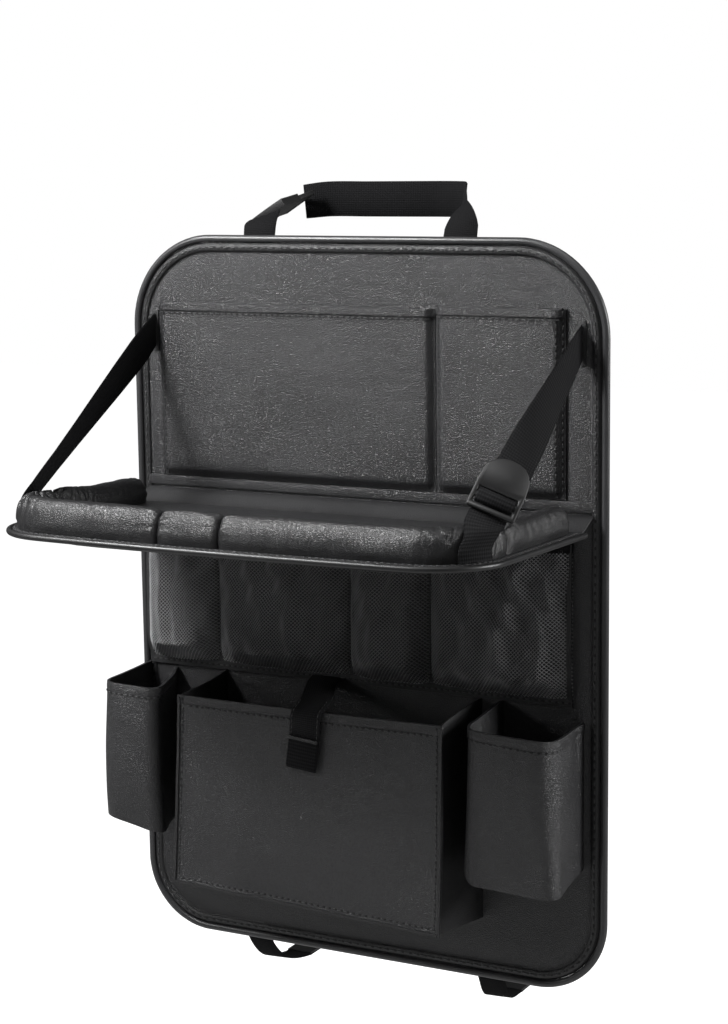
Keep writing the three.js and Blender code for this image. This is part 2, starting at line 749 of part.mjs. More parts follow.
function trayStrap(name, side, { low, over, turn, back }) {
  const cx = trayWidth / 2 - trayCorner;
  const cy = trayDepth - trayCorner + trayBow / 6 - back;
  const around = (degrees, inset, up) => {
    const r = trayCorner - inset;
    return trayPoint(side * (cx + r * Math.sin(rad(degrees))), cy + r * Math.cos(rad(degrees)), up);
  };
  const facing = (degrees) =>
    new THREE.Vector3(-side * Math.cos(rad(degrees)), -Math.sin(rad(degrees)), 0);
  const crossing = around(over, strapOver, rollHeight + strapRise);
  const behind = anchorThickness + webbing / 2;
  const top = new THREE.Vector3(side * anchorX, seatGap - behind, anchorHeight);
  const along = top.clone().sub(crossing).normalize();
  const square = (v) => v.clone().addScaledVector(along, -v.dot(along)).normalize();
  const upright = new THREE.Vector3(0, 0, 1);
  const turned = facing(turn);
  const stops = [{ at: top, across: upright }];
  const parts = 6;
  for (let i = 1; i < parts; i += 1) {
    const t = i / parts;
    const across = square(upright).lerp(square(turned), smooth(t)).normalize();
    stops.push({ at: top.clone().lerp(crossing, t), across });
  }
  const beside = strapBelow + 0.6;
  const shoulder = around(mix(low, over, 0.5), beside + 1.8, rollHeight - 5);
  stops.push({ at: crossing, across: square(turned).lerp(turned, 0.3).normalize() });
  stops.push({ at: shoulder, across: facing(mix(low, turn, 0.5)) });
  stops.push({ at: around(low, beside, rollHeight * 0.4), across: facing(low) });
  stops.push({ at: around(low, strapBelow, webbing), across: facing(low) });
  strap(name, stops, trayWebWidth, 40);
  return { crossing, along, across: square(turned) };
}

// Sewn patch that holds a tray strap's top end to the panel
function strapAnchor(name, side) {
  const height = trayWebWidth + 2 * anchorMargin;
  const low = anchorHeight - height / 2;
  const shape = roundedShape(anchorWidth / 2, low, low + height, 1.5, 1.5);
  const geometry = standing(shape, anchorThickness, seatGap, 0, 2);
  geometry.translate(side * anchorX, 0, 0);
  add(name, geometry, 'webbing');
}

// Slide adjuster: two slots between three bars, and a thumb tab that stands off the strap
function adjuster({ crossing, along, across }) {
  const slotHalf = trayWebWidth / 2 + 1;
  const half = slotHalf + adjusterRail;
  const shoulder = adjusterHeight - adjusterTab;
  const corner = adjusterCorner;
  const full = adjusterHeight - 2 * corner;
  const shape = new THREE.Shape();
  shape.moveTo(-half + corner, 0);
  shape.lineTo(half - corner, 0);
  shape.quadraticCurveTo(half, 0, half, corner);
  shape.lineTo(half, shoulder);
  shape.bezierCurveTo(half, full, half / 2, adjusterHeight, 0, adjusterHeight);
  shape.bezierCurveTo(-half / 2, adjusterHeight, -half, full, -half, shoulder);
  shape.lineTo(-half, corner);
  shape.quadraticCurveTo(-half, 0, -half + corner, 0);
  for (const low of [adjusterBar, 2 * adjusterBar + slotHeight]) {
    shape.holes.push(roundedShape(slotHalf, low, low + slotHeight, 1, 1, THREE.Path));
  }
  const geometry = new THREE.ExtrudeGeometry(shape, {
    depth: adjusterThickness - 2 * adjusterBevel,
    bevelEnabled: true,
    bevelThickness: adjusterBevel,
    bevelSize: adjusterBevel,
    bevelOffset: -adjusterBevel,
    bevelSegments: 1,
    curveSegments: 5,
  });
  geometry.translate(0, 0, adjusterBevel);
  const facing = along.clone().cross(across).normalize();
  const lift = rad(adjusterLift);
  const up = along.clone().multiplyScalar(Math.cos(lift)).addScaledVector(facing, Math.sin(lift));
  const out = up.clone().cross(across).normalize();
  const side = across.clone().negate();
  const clear = webbing / 2 + 3 * gap;
  const at = crossing.clone().addScaledVector(along, adjusterUp).addScaledVector(facing, clear);
  geometry.applyMatrix4(new THREE.Matrix4().makeBasis(side, up, out).setPosition(at));
  add('strap_adjuster', geometry, 'plastic');
}

// Stops of a strap's end, sewn on the panel's back margin at x; edge is 1 at the top, -1 below
function sewnEnd(x, edge) {
  const behind = gap + webbing / 2 - marginSink;
  const line = edge * (panelHeight / 2);
  return [
    stop(x, behind, line - edge * (sewnStart + sewnLength), 1, 0, 0),
    stop(x, behind, line - edge * (sewnStart + 5), 1, 0, 0),
    stop(x, behind + gap, line - edge * sewnStart, 1, 0, 0),
    stop(x, webbing + 1.6, line - edge * 4, 1, 0, 0),
  ];
}

function headrestStraps() {
  const [left, right] = headStrapX;
  const top = panelHeight / 2;
  const run = postReach;
  const start = left + 6;
  strap('headrest_strap_left', [
    ...sewnEnd(left, 1),
    stop(left - 2, 10, top + 9, 1, 0.1, 0.1),
    stop(left - 5, 22, top + 15, 0.9, 0.2, 0.3),
  ], headWebWidth, 20);
  strap('headrest_strap_right', [
    stop(start - 3, run - 10, runHeight - 2, -0.2, 0.2, 0.95),
    stop(start + 16, run - 2, runHeight, 0, 0, 1),
    stop(start + runEase, run, runHeight, 0, 0, 1),
    stop(0, run, runHeight, 0, 0, 1),
    stop(right - runEase, run, runHeight, 0, 0, 1),
    stop(right - 32, run - 9, runHeight, 0.15, -0.1, 1),
    stop(right - 22, run - 30, runHeight, 0.35, -0.5, 0.75),
    stop(right - 12, run - 52, runHeight - 3, 0.6, -0.75, 0.25),
    stop(right - 5, 20, top + 17, 0.9, -0.4, 0.15),
    stop(right - 1, 9, top + 7, 1, 0, 0.1),
    ...sewnEnd(right, 1).reverse(),
  ], headWebWidth, 52);
}

// Side release buckle between the left strap and the run behind the posts
function headrestBuckle() {
  const half = buckleWidth / 2;
  const body = new THREE.Shape();
  const long = socketLength;
  body.moveTo(-half, 0);
  body.quadraticCurveTo(-half + 2, long * 0.5, -half + 3, long);
  body.lineTo(half - 3, long);
  body.quadraticCurveTo(half - 2, long * 0.5, half, 0);
  body.quadraticCurveTo(0, -4, -half, 0);
  const plug = new THREE.Shape();
  plug.moveTo(-half + 4, gap + long);
  plug.lineTo(half - 4, gap + long);
  plug.lineTo(half - 3, buckleLength);
  plug.lineTo(-half + 3, buckleLength);
  plug.holes.push(new THREE.Path([
    new THREE.Vector2(-headWebWidth / 2, buckleLength - 7),
    new THREE.Vector2(-headWebWidth / 2, buckleLength - 3.5),
    new THREE.Vector2(headWebWidth / 2, buckleLength - 3.5),
    new THREE.Vector2(headWebWidth / 2, buckleLength - 7),
  ]));
  const start = new THREE.Vector3(headStrapX[0] - 6, 27.5, panelHeight / 2 + 16.6);
  const end = new THREE.Vector3(headStrapX[0] - 1, postReach - 14, runHeight - 2.4);
  const along = end.clone().sub(start).normalize();
  const across = new THREE.Vector3(0.85, 0.1, 0.5);
  across.addScaledVector(along, -across.dot(along)).normalize();
  const facing = across.clone().cross(along);
  const frame = new THREE.Matrix4().makeBasis(across, along, facing);
  frame.setPosition(start.addScaledVector(facing, -buckleThickness / 2));
  [['buckle_socket', body], ['buckle_plug', plug]].forEach(([name, shape]) => {
    const thin = name === 'buckle_plug' ? plugInset : 1;
    const geometry = new THREE.ExtrudeGeometry(shape, {
      depth: buckleThickness - 2 * thin,
      bevelEnabled: false,
      curveSegments: 6,
    });
    geometry.translate(0, 0, thin);
    geometry.applyMatrix4(frame);
    add(name, geometry, 'plastic');
  });
}

// Elastic strap below the panel, with a flat hook for the seat's underside
function fixingStrap(side, label) {
  const x = side * fixStrapX;
  const low = -panelHeight / 2;
  const endX = x - side * fixDrift;
  strap(`fixing_strap_${label}`, [
    ...sewnEnd(x, -1),
    stop(x, 9, low - 8, 1, 0, 0),
    stop(x - side * 3, 26, low - fixDrop, 1, 0.1, 0),
    stop(endX, fixReach, low - fixDrop - 8, 1, 0.15, 0),
  ], fixWebWidth, 24);
  const shape = new THREE.Shape();
  const half = hookWidth / 2;
  shape.moveTo(0, 0);
  shape.lineTo(hookLength, 0);
  const bend = 7;
  const inner = bend - hookThickness;
  shape.quadraticCurveTo(hookLength + bend, 0, hookLength + bend, bend);
  shape.lineTo(hookLength + bend, hookLip);
  shape.lineTo(hookLength + inner, hookLip);
  shape.lineTo(hookLength + inner, bend);
  shape.quadraticCurveTo(hookLength + inner, hookThickness, hookLength, hookThickness);
  shape.lineTo(0, hookThickness);
  const geometry = new THREE.ExtrudeGeometry(shape, { depth: hookWidth, bevelEnabled: false, curveSegments: 4 });
  geometry.translate(0, 0, -half);
  geometry.rotateX(Math.PI / 2);
  geometry.rotateZ(Math.PI / 2);
  geometry.translate(endX, fixReach + 2.5, low - fixDrop - 9);
  add(`fixing_hook_${label}`, geometry, 'plastic');
}

backPanel();
flatPocket('upper_pocket', upperLeft, phoneLeft - 2 * gap, upperBottom, upperTop, upperRoom);
flatPocket('phone_pocket', phoneLeft, phoneRight, upperBottom, upperTop + 2, phoneRoom);
meshPocket();
boxFront();
boxSide('box_pocket_side_left', 0);
boxSide('box_pocket_side_right', 1);
boxFloor();
cupPocket();
tallPocket();
closureTab();
hingeFlap();
seamStrip();
trayBoard();
trayPiping();
trayRims();
underPocket();
strapAnchor('strap_anchor_left', -1);
strapAnchor('strap_anchor_right', 1);
trayStrap('tray_strap_left', -1, leftStrapPath);
adjuster(trayStrap('tray_strap_right', 1, rightStrapPath));
headrestStraps();
headrestBuckle();
fixingStrap(-1, 'left');
fixingStrap(1, 'right');

export default group;
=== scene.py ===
import math

import bpy
import numpy as np
from mathutils import Matrix, Vector, noise
from mathutils.bvhtree import BVHTree


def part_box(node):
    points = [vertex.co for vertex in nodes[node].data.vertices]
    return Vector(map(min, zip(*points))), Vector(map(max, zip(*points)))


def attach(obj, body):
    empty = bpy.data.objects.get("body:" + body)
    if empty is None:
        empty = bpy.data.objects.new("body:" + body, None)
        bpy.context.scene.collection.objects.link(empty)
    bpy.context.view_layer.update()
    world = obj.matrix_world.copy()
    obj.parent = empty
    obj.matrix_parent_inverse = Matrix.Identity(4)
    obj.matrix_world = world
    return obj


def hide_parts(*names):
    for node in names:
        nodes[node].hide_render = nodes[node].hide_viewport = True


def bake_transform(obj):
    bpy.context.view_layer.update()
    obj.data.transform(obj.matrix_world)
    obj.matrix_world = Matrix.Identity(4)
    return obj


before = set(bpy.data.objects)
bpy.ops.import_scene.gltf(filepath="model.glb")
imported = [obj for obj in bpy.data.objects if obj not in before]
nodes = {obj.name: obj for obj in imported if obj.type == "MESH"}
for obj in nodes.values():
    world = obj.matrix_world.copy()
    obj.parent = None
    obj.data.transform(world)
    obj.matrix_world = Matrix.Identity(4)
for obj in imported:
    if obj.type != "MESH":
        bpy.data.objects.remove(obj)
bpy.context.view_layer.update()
scene = bpy.context.scene
bpy.ops.object.select_all(action="DESELECT")
print("frame loaded:", len(nodes), "nodes")


# camera, at the angle the picture was taken from
camSet = {"place": (0.8663, -1.6344, 0.3799), "turn": 27.92, "tilt": 9.24, "roll": -0.73, "lens": 79.12}


def addObject(name, data):
    made = bpy.data.objects.new(name, data)
    scene.collection.objects.link(made)
    return made


def addCamera():
    turn, tilt, roll = (math.radians(camSet[k]) for k in ("turn", "tilt", "roll"))
    level = math.cos(tilt)
    ahead = Vector((-math.sin(turn) * level, math.cos(turn) * level, -math.sin(tilt)))
    right = ahead.cross(Vector((0, 0, 1))).normalized()
    up = right.cross(ahead)
    side = math.cos(roll) * right + math.sin(roll) * up
    top = math.cos(roll) * up - math.sin(roll) * right
    cam = bpy.data.cameras.new("camera")
    cam.lens = camSet["lens"]
    holder = addObject("camera", cam)
    turned = Matrix((side, top, -ahead)).transposed().to_4x4()
    holder.matrix_world = Matrix.Translation(Vector(camSet["place"])) @ turned
    scene.camera = holder


addCamera()


# small tools
def only(piece):
    if bpy.context.object and bpy.context.object.mode != "OBJECT":
        bpy.ops.object.mode_set(mode="OBJECT")
    bpy.ops.object.select_all(action="DESELECT")
    piece.select_set(True)
    bpy.context.view_layer.objects.active = piece


def editAll(piece):
    only(piece)
    bpy.ops.object.mode_set(mode="EDIT")
    bpy.ops.mesh.select_all(action="SELECT")


def done():
    bpy.ops.object.mode_set(mode="OBJECT")


def applyAll(piece):
    only(piece)
    for m in list(piece.modifiers):
        bpy.ops.object.modifier_apply(modifier=m.name)


def smoothShade(piece, angle):
    only(piece)
    bpy.ops.object.shade_smooth_by_angle(angle=math.radians(angle))


def readAll(piece, what):
    values = np.empty(len(piece.data.vertices) * 3)
    piece.data.vertices.foreach_get(what, values)
    return values.reshape(-1, 3)


def getPoints(piece):
    return readAll(piece, "co")


def setPoints(piece, co):
    piece.data.vertices.foreach_set("co", co.reshape(-1))
    piece.data.update()


def treeOf(piece):
    points = [tuple(p) for p in getPoints(piece)]
    return BVHTree.FromPolygons(points, [tuple(f.vertices) for f in piece.data.polygons])


def ramp(t):
    t = np.clip(t, 0, 1)
    return t * t * (3 - 2 * t)


def rampOf(t):
    return float(ramp(np.array(t)))


def noiseOf(co, scale, seed=0.0):
    shift = Vector((seed, seed * 1.7, seed * 0.6))
    return np.array([noise.noise(Vector(p) + shift) for p in co * np.array(scale)])


def newMesh(name, points, faces, uv=None):
    mesh = bpy.data.meshes.new(name)
    mesh.from_pydata([tuple(p) for p in points], [], faces)
    piece = addObject(name, mesh)
    if uv is not None:
        layer = mesh.uv_layers.new(name="UVMap")
        order = np.empty(len(mesh.loops), np.int32)
        mesh.loops.foreach_get("vertex_index", order)
        layer.data.foreach_set("uv", np.asarray(uv, float)[order].reshape(-1))
    mesh.validate()
    editAll(piece)
    bpy.ops.mesh.normals_make_consistent(inside=False)
    done()
    return piece


def ringFaces(rings, count, closed=False):
    # quads between each ring of points and the next one
    faces = []
    for r in range(rings if closed else rings - 1):
        here, there = r * count, (r + 1) % rings * count
        for i in range(count):
            j = (i + 1) % count
            faces.append((here + i, here + j, there + j, there + i))
    return faces


# copies of the frame's solids, cleaned, rounded and smoothed; angles in degrees
copySet = {"merge": 0.00002, "sharp": 48, "quadFace": 60, "quadShape": 70, "bevelFrom": 50, "shade": 45}


def copyOf(node, name):
    piece = addObject(name, nodes[node].data.copy())
    editAll(piece)
    bpy.ops.mesh.remove_doubles(threshold=copySet["merge"])
    return piece


def softCopy(node, name, level, bevel, sharp=copySet["sharp"]):
    s = copySet
    piece = copyOf(node, name)
    bpy.ops.mesh.normals_make_consistent(inside=False)
    flat, square = math.radians(s["quadFace"]), math.radians(s["quadShape"])
    bpy.ops.mesh.tris_convert_to_quads(face_threshold=flat, shape_threshold=square)
    if level:
        bpy.ops.mesh.select_all(action="DESELECT")
        bpy.ops.mesh.select_mode(type="EDGE")
        bpy.ops.mesh.edges_select_sharp(sharpness=math.radians(sharp))
        bpy.ops.transform.edge_crease(value=1)
        bpy.ops.mesh.select_mode(type="VERT")
    done()
    if level:
        mod = piece.modifiers.new("round", "SUBSURF")
        mod.levels = mod.render_levels = level
    if bevel:
        mod = piece.modifiers.new("edge", "BEVEL")
        mod.width = bevel
        mod.segments = 2
        mod.limit_method = "ANGLE"
        mod.angle_limit = math.radians(s["bevelFrom"])
    applyAll(piece)
    smoothShade(piece, s["shade"])
    return piece


# looks: shader groups first
def put(tree, socket, value):
    # an output is joined to the socket, any other value is set
    if isinstance(value, bpy.types.NodeSocket):
        tree.links.new(value, socket)
    else:
        socket.default_value = value


def addNode(tree, kind, inputs, **settings):
    node = tree.nodes.new(kind)
    for key, value in settings.items():
        setattr(node, key, value)
    for key, value in inputs.items():
        put(tree, node.inputs[key], value)
    return node


def mathNode(tree, op, a, b, clamp=False):
    return addNode(tree, "ShaderNodeMath", {0: a, 1: b}, operation=op, use_clamp=clamp).outputs[0]


def noiseNode(tree, where, scale, detail, out="Fac"):
    given = {"Vector": where, "Scale": scale, "Detail": detail}
    return addNode(tree, "ShaderNodeTexNoise", given).outputs[out]


def shares(tree, first, *more):
    # sum of outputs, each one times its share
    total = mathNode(tree, "MULTIPLY", *first)
    for part in more:
        total = mathNode(tree, "ADD", total, mathNode(tree, "MULTIPLY", *part))
    return total


def newGroup(name, inputs):
    group = bpy.data.node_groups.new(name, "ShaderNodeTree")
    for label, kind in inputs.items():
        group.interface.new_socket(name=label, in_out="INPUT", socket_type=kind)
    for label in ("Height", "Tone"):
        group.interface.new_socket(name=label, in_out="OUTPUT", socket_type="NodeSocketFloat")
    given = group.nodes.new("NodeGroupInput").outputs
    return group, given, group.nodes.new("NodeGroupOutput").inputs


grainSet = {
    "wobble": 260, "shift": 0.0018,
    "cells": 780, "edge": 3.2,
    "fine": 2600, "soft": 90,
    "pebbleShare": 0.7, "fineShare": 0.25, "softShare": 0.2,
}


def grainGroup():
    s = grainSet
    g, given, made = newGroup("leather grain", {"Vector": "NodeSocketVector"})
    v = given["Vector"]
    wobble = noiseNode(g, v, s["wobble"], 2, "Color")
    shift = (s["shift"],) * 3
    bend = addNode(g, "ShaderNodeVectorMath", {0: wobble, 1: shift, 2: v}, operation="MULTIPLY_ADD")
    place = {"Vector": bend.outputs[0], "Scale": s["cells"]}
    cells = addNode(g, "ShaderNodeTexVoronoi", place, feature="DISTANCE_TO_EDGE")
    pebble = mathNode(g, "MULTIPLY", cells.outputs["Distance"], s["edge"], True)
    fine = noiseNode(g, v, s["fine"], 2)
    soft = noiseNode(g, v, s["soft"], 3)
    height = shares(g, (pebble, s["pebbleShare"]), (fine, s["fineShare"]), (soft, s["softShare"]))
    put(g, made["Height"], height)
    put(g, made["Tone"], mathNode(g, "MULTIPLY", pebble, soft))
    return g


weaveSet = {
    "distort": 0.4, "detailScale": 3,
    "yarns": 165, "fuzz": 3200,
    "ribShare": 0.7, "yarnShare": 0.45, "fuzzShare": 0.3, "tone": 0.7,
}


def weaveGroup():
    s = weaveSet
    sockets = {"Vector": "NodeSocketVector", "Rib": "NodeSocketFloat"}
    g, given, made = newGroup("webbing weave", sockets)
    v = given["Vector"]
    ribs = addNode(g, "ShaderNodeTexWave", {
        "Vector": v, "Scale": given["Rib"], "Distortion": s["distort"], "Detail Scale": s["detailScale"],
    }, bands_direction="X").outputs["Fac"]
    place = {"Vector": v, "Scale": s["yarns"]}
    yarns = addNode(g, "ShaderNodeTexWave", place, bands_direction="Y").outputs["Fac"]
    fuzz = noiseNode(g, v, s["fuzz"], 2)
    height = shares(g, (ribs, s["ribShare"]), (yarns, s["yarnShare"]), (fuzz, s["fuzzShare"]))
    put(g, made["Height"], height)
    put(g, made["Tone"], mathNode(g, "MULTIPLY", height, s["tone"]))
    return g


grain = grainGroup()
weave = weaveGroup()
looks = {}


def newLook(name, where):
    m = bpy.data.materials.new(name)
    m.use_nodes = True
    looks[name] = m
    t = m.node_tree
    return t, t.nodes["Principled BSDF"].inputs, t.nodes.new("ShaderNodeTexCoord").outputs[where]


def tintAndBump(t, shader, s, factor, height):
    ends = {"Factor": factor, "A": (*s["low"], 1), "B": (*s["high"], 1)}
    tint = addNode(t, "ShaderNodeMix", ends, data_type="RGBA")
    put(t, shader["Base Color"], tint.outputs["Result"])
    relief = {"Strength": s["bump"], "Distance": s["depth"], "Height": height}
    put(t, shader["Normal"], addNode(t, "ShaderNodeBump", relief).outputs["Normal"])


def roughFrom(t, shader, value, start, end, rough):
    # roughness that follows the patches, from its first value to its second
    span = addNode(t, "ShaderNodeMapRange", {
        "Value": value, "From Min": start, "From Max": end, "To Min": rough[0], "To Max": rough[1],
    })
    put(t, shader["Roughness"], span.outputs["Result"])


# leatherette and its piping: grain, broad patches and a slow swell; the darker copies carry painted shade
patchSet = {"patches": 14, "swell": 17, "from": 0.3, "to": 0.7, "grainShare": 0.8, "patchShare": 0.5}
leatherSets = {
    "leather": {
        "low": (0.012, 0.012, 0.0128), "high": (0.029, 0.029, 0.0305),
        "rough": (0.3, 0.44), "bump": 0.6, "depth": 0.0007, "wave": 3.5,
    },
    # a darker, rougher copy of the leather: painted shade for the pockets' sides and floors and the pieces
    # under the tray
    "leatherDark": {
        "low": (0.006, 0.006, 0.0065), "high": (0.012, 0.012, 0.013),
        "rough": (0.48, 0.64), "bump": 0.4, "depth": 0.0006, "wave": 2.0,
    },
    # smoother leather for the roll, the band beside the piping and folded edges; darker than the panel's
    # leather as painted shade for the roll
    "leatherSmooth": {
        "low": (0.007, 0.007, 0.0076), "high": (0.015, 0.015, 0.0158),
        "rough": (0.32, 0.44), "bump": 0.45, "depth": 0.0006, "wave": 1.5,
    },
    "piping": {
        "low": (0.022, 0.022, 0.0232), "high": (0.045, 0.045, 0.047),
        "rough": (0.3, 0.42), "bump": 0.1, "depth": 0.0004, "wave": 0.0,
    },
    # the tray's piping: a darker copy of the piping, as painted shade along the tray's lower edge
    "pipingDark": {
        "low": (0.004, 0.004, 0.0043), "high": (0.009, 0.009, 0.0095),
        "rough": (0.36, 0.5), "bump": 0.08, "depth": 0.0004, "wave": 0.0,
    },
}


def leatherLook(name, s):
    p = patchSet
    t, shader, where = newLook(name, "Object")
    g = addNode(t, "ShaderNodeGroup", {}, node_tree=grain)
    put(t, g.inputs["Vector"], where)
    patches = noiseNode(t, where, p["patches"], 3)
    swell = noiseNode(t, where, p["swell"], 1)
    factor = shares(t, (g.outputs["Tone"], p["grainShare"]), (patches, p["patchShare"]))
    height = mathNode(t, "ADD", g.outputs["Height"], mathNode(t, "MULTIPLY", swell, s["wave"]))
    tintAndBump(t, shader, s, factor, height)
    roughFrom(t, shader, patches, p["from"], p["to"], s["rough"])


# woven straps
webbingSets = {
    "webbingFine": {"low": (0.0022, 0.0022, 0.0024), "high": (0.009, 0.009, 0.0098), "ribs": 190},
    "webbingPale": {"low": (0.0065, 0.0065, 0.0069), "high": (0.022, 0.022, 0.0232), "ribs": 190},
    "webbingCoarse": {"low": (0.0022, 0.0022, 0.0024), "high": (0.017, 0.017, 0.018), "ribs": 110},
}
webbingShared = {"rough": 0.85, "specular": 0.09, "bump": 0.7, "depth": 0.0004}


def webbingLook(name, s):
    t, shader, where = newLook(name, "UV")
    g = addNode(t, "ShaderNodeGroup", {}, node_tree=weave)
    put(t, g.inputs["Rib"], s["ribs"])
    put(t, g.inputs["Vector"], where)
    tintAndBump(t, shader, {**s, **webbingShared}, g.outputs["Tone"], g.outputs["Height"])
    put(t, shader["Roughness"], webbingShared["rough"])
    put(t, shader["Specular IOR Level"], webbingShared["specular"])


# moulded plastic, threads and needle holes: fine noise and broad patches, with painted sheen on the net
plainShared = {"patches": 60, "depth": 0.0003}
plainSets = {
    "mouldedPlastic": {
        "low": (0.004, 0.004, 0.0043), "high": (0.008, 0.008, 0.0085),
        "rough": (0.48, 0.64), "fine": 1800, "bump": 0.25, "sheen": 0.0,
    },
    "stitchThread": {
        "low": (0.014, 0.014, 0.0148), "high": (0.032, 0.032, 0.0335),
        "rough": (0.47, 0.63), "fine": 2600, "bump": 0.4, "sheen": 0.1,
    },
    # the needle holes: near-black discs of painted shade standing for the shadow in each hole
    "needleHole": {
        "low": (0.0015, 0.0015, 0.0016), "high": (0.003, 0.003, 0.0032),
        "rough": (0.72, 0.88), "fine": 900, "bump": 0.1, "sheen": 0.0,
    },
    # the net's threads: much lighter than black net, as painted sheen and light on the fine threads
    "netThread": {
        "low": (0.15, 0.15, 0.154), "high": (0.32, 0.32, 0.326),
        "rough": (0.34, 0.5), "fine": 2600, "bump": 0.3, "sheen": 0.3,
    },
}


def plainLook(name, s):
    t, shader, where = newLook(name, "Object")
    fine = noiseNode(t, where, s["fine"], 3)
    patches = noiseNode(t, where, plainShared["patches"], 2)
    tintAndBump(t, shader, {**s, **plainShared}, patches, fine)
    roughFrom(t, shader, patches, 0, 1, s["rough"])
    put(t, shader["Sheen Weight"], s["sheen"])


for makeLook, sets in ((leatherLook, leatherSets), (webbingLook, webbingSets), (plainLook, plainSets)):
    for lookName, values in sets.items():
        makeLook(lookName, values)
print("looks made:", len(looks))


# what each piece is: its look, what it moves with and what it stands for
def finishPiece(piece, look, slotName, body, *replaced, padFill=None):
    piece.data.materials.clear()
    piece.data.materials.append(looks[look])
    if body:
        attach(piece, body)
    if replaced:
        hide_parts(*replaced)
    return piece


# stitches: one thread stitch is modelled once and laid along each sewn line, beside a disc of painted
# shade
stitchSet = {
    "length": 0.0036, "radius": 0.0005, "flat": 1.1, "pitch": 0.0056, "rise": 0.0001,
    "hole": 0.0011, "holeLong": 1.3, "holeRim": 0.00003, "holeMiddle": 0.00006, "holeSides": 6,
    "reach": 0.03, "lookAhead": 0.001,
}


def oneStitch():
    # its corners and faces are sorted, so that every run numbers them alike
    s = stitchSet
    bpy.ops.mesh.primitive_uv_sphere_add(segments=6, ring_count=5)
    piece = bpy.context.object
    editAll(piece)
    bpy.ops.transform.resize(value=(s["radius"] * s["flat"], s["radius"], s["length"] / 2))
    done()
    co = getPoints(piece)
    order = np.lexsort(np.round(co, 8).T)
    rank = np.argsort(order)
    faces = []
    for f in piece.data.polygons:
        corners = [int(rank[i]) for i in f.vertices]
        first = corners.index(min(corners))
        faces.append(tuple(corners[first:] + corners[:first]))
    bpy.data.objects.remove(piece)
    return co[order], sorted(faces)


stitchPoints, stitchFaces = oneStitch()


# a flat dark disc lying just over the surface between stitches: painted shade for the needle hole
def holeShadeDisc():
    s = stitchSet
    ring = [(0, s["holeMiddle"], 0)]
    for a in np.linspace(0, 2 * math.pi, s["holeSides"] + 1)[:-1]:
        ring.append((s["hole"] * math.cos(a), s["holeRim"], s["hole"] * s["holeLong"] * math.sin(a)))
    return np.array(ring)


def castOn(trees, spot, away):
    # first hit from outside, and the way the surface faces there
    best, least = None, math.inf
    reach = stitchSet["reach"]
    for tree in trees:
        hit, normal, _, far = tree.ray_cast(Vector(spot) + away * reach, -away, 2 * reach)
        if hit is not None and far < least:
            best, least = (hit, normal), far
    return best


def stitchSpots(trees, line, out, step):
    # each stitch's place on the surface, the way out of it and the way along the seam
    line = np.array(line, float)
    along = np.concatenate([[0], np.cumsum(np.linalg.norm(np.diff(line, axis=0), axis=1))])
    count = int(along[-1] / step)
    at = (np.arange(count) + 0.5) * along[-1] / max(count, 1)

    def pointsAt(far):
        return np.stack([np.interp(far, along, line[:, k]) for k in range(3)], axis=1)

    ahead = pointsAt(np.minimum(at + stitchSet["lookAhead"], along[-1]))
    for p, q in zip(pointsAt(at), ahead):
        away = Vector(out(p) if callable(out) else out).normalized()
        best = castOn(trees, p, away)
        if best is None:
            continue
        hit, normal = best
        if normal.dot(away) < 0:
            normal = -normal
        heading = Vector(q) - Vector(p)
        heading -= heading.dot(normal) * normal
        if heading.length > 1e-9:
            yield hit, normal, heading.normalized()


def sewLines(name, lines, targets, body, pitch=stitchSet["pitch"], size=1.0):
    # each line: its points, and the direction the needle comes from
    trees = [treeOf(t) for t in targets]
    ring, sides = holeShadeDisc(), stitchSet["holeSides"]
    points, faces, parts = [], [], []
    for line, out in lines:
        for hit, normal, heading in stitchSpots(trees, line, out, pitch):
            turn = np.array([normal.cross(heading), normal, heading])
            start = len(points)
            base = np.array(hit + normal * stitchSet["rise"] * size)
            points.extend((stitchPoints * size) @ turn + base)
            faces.extend(tuple(i + start for i in f) for f in stitchFaces)
            parts += [0] * len(stitchFaces)
            start = len(points)
            points.extend(ring @ turn + np.array(hit + heading * pitch / 2))
            faces.extend((start, start + 1 + k, start + 1 + (k + 1) % sides) for k in range(sides))
            parts += [1] * sides
    piece = newMesh(name, points, faces)
    smoothShade(piece, 180)
    finishPiece(piece, "stitchThread", "webbing", body)
    # the discs take the near-black colour, painted shade for the needle holes
    piece.data.materials.append(looks["needleHole"])
    piece.data.polygons.foreach_set("material_index", parts)


# the panel: padded field, sewn band and piped edge
panelSet = {
    "width": 0.44, "height": 0.615, "topCorner": 0.078, "bottomCorner": 0.062,
    # width and depth of each step from the edge into the field
    "steps": ((0.0068, 0.0), (0.0013, -0.0007), (0.0015, 0.0008), (0.02, 0.0001)),
}
front = (0, -1, 0)


def outline(inset, steps=20):
    s = panelSet
    w, h = s["width"] / 2 - inset, s["height"] / 2 - inset
    corners = (
        (1, -1, -90, s["bottomCorner"]),
        (1, 1, 0, s["topCorner"]),
        (-1, 1, 90, s["topCorner"]),
        (-1, -1, 180, s["bottomCorner"]),
    )
    points = []
    for cx, cz, start, radius in corners:
        r = radius - inset
        for i in range(steps + 1):
            a = math.radians(start + 90 * i / steps)
            points.append((cx * (w - r) + r * math.cos(a), cz * (h - r) + r * math.sin(a)))
    return points


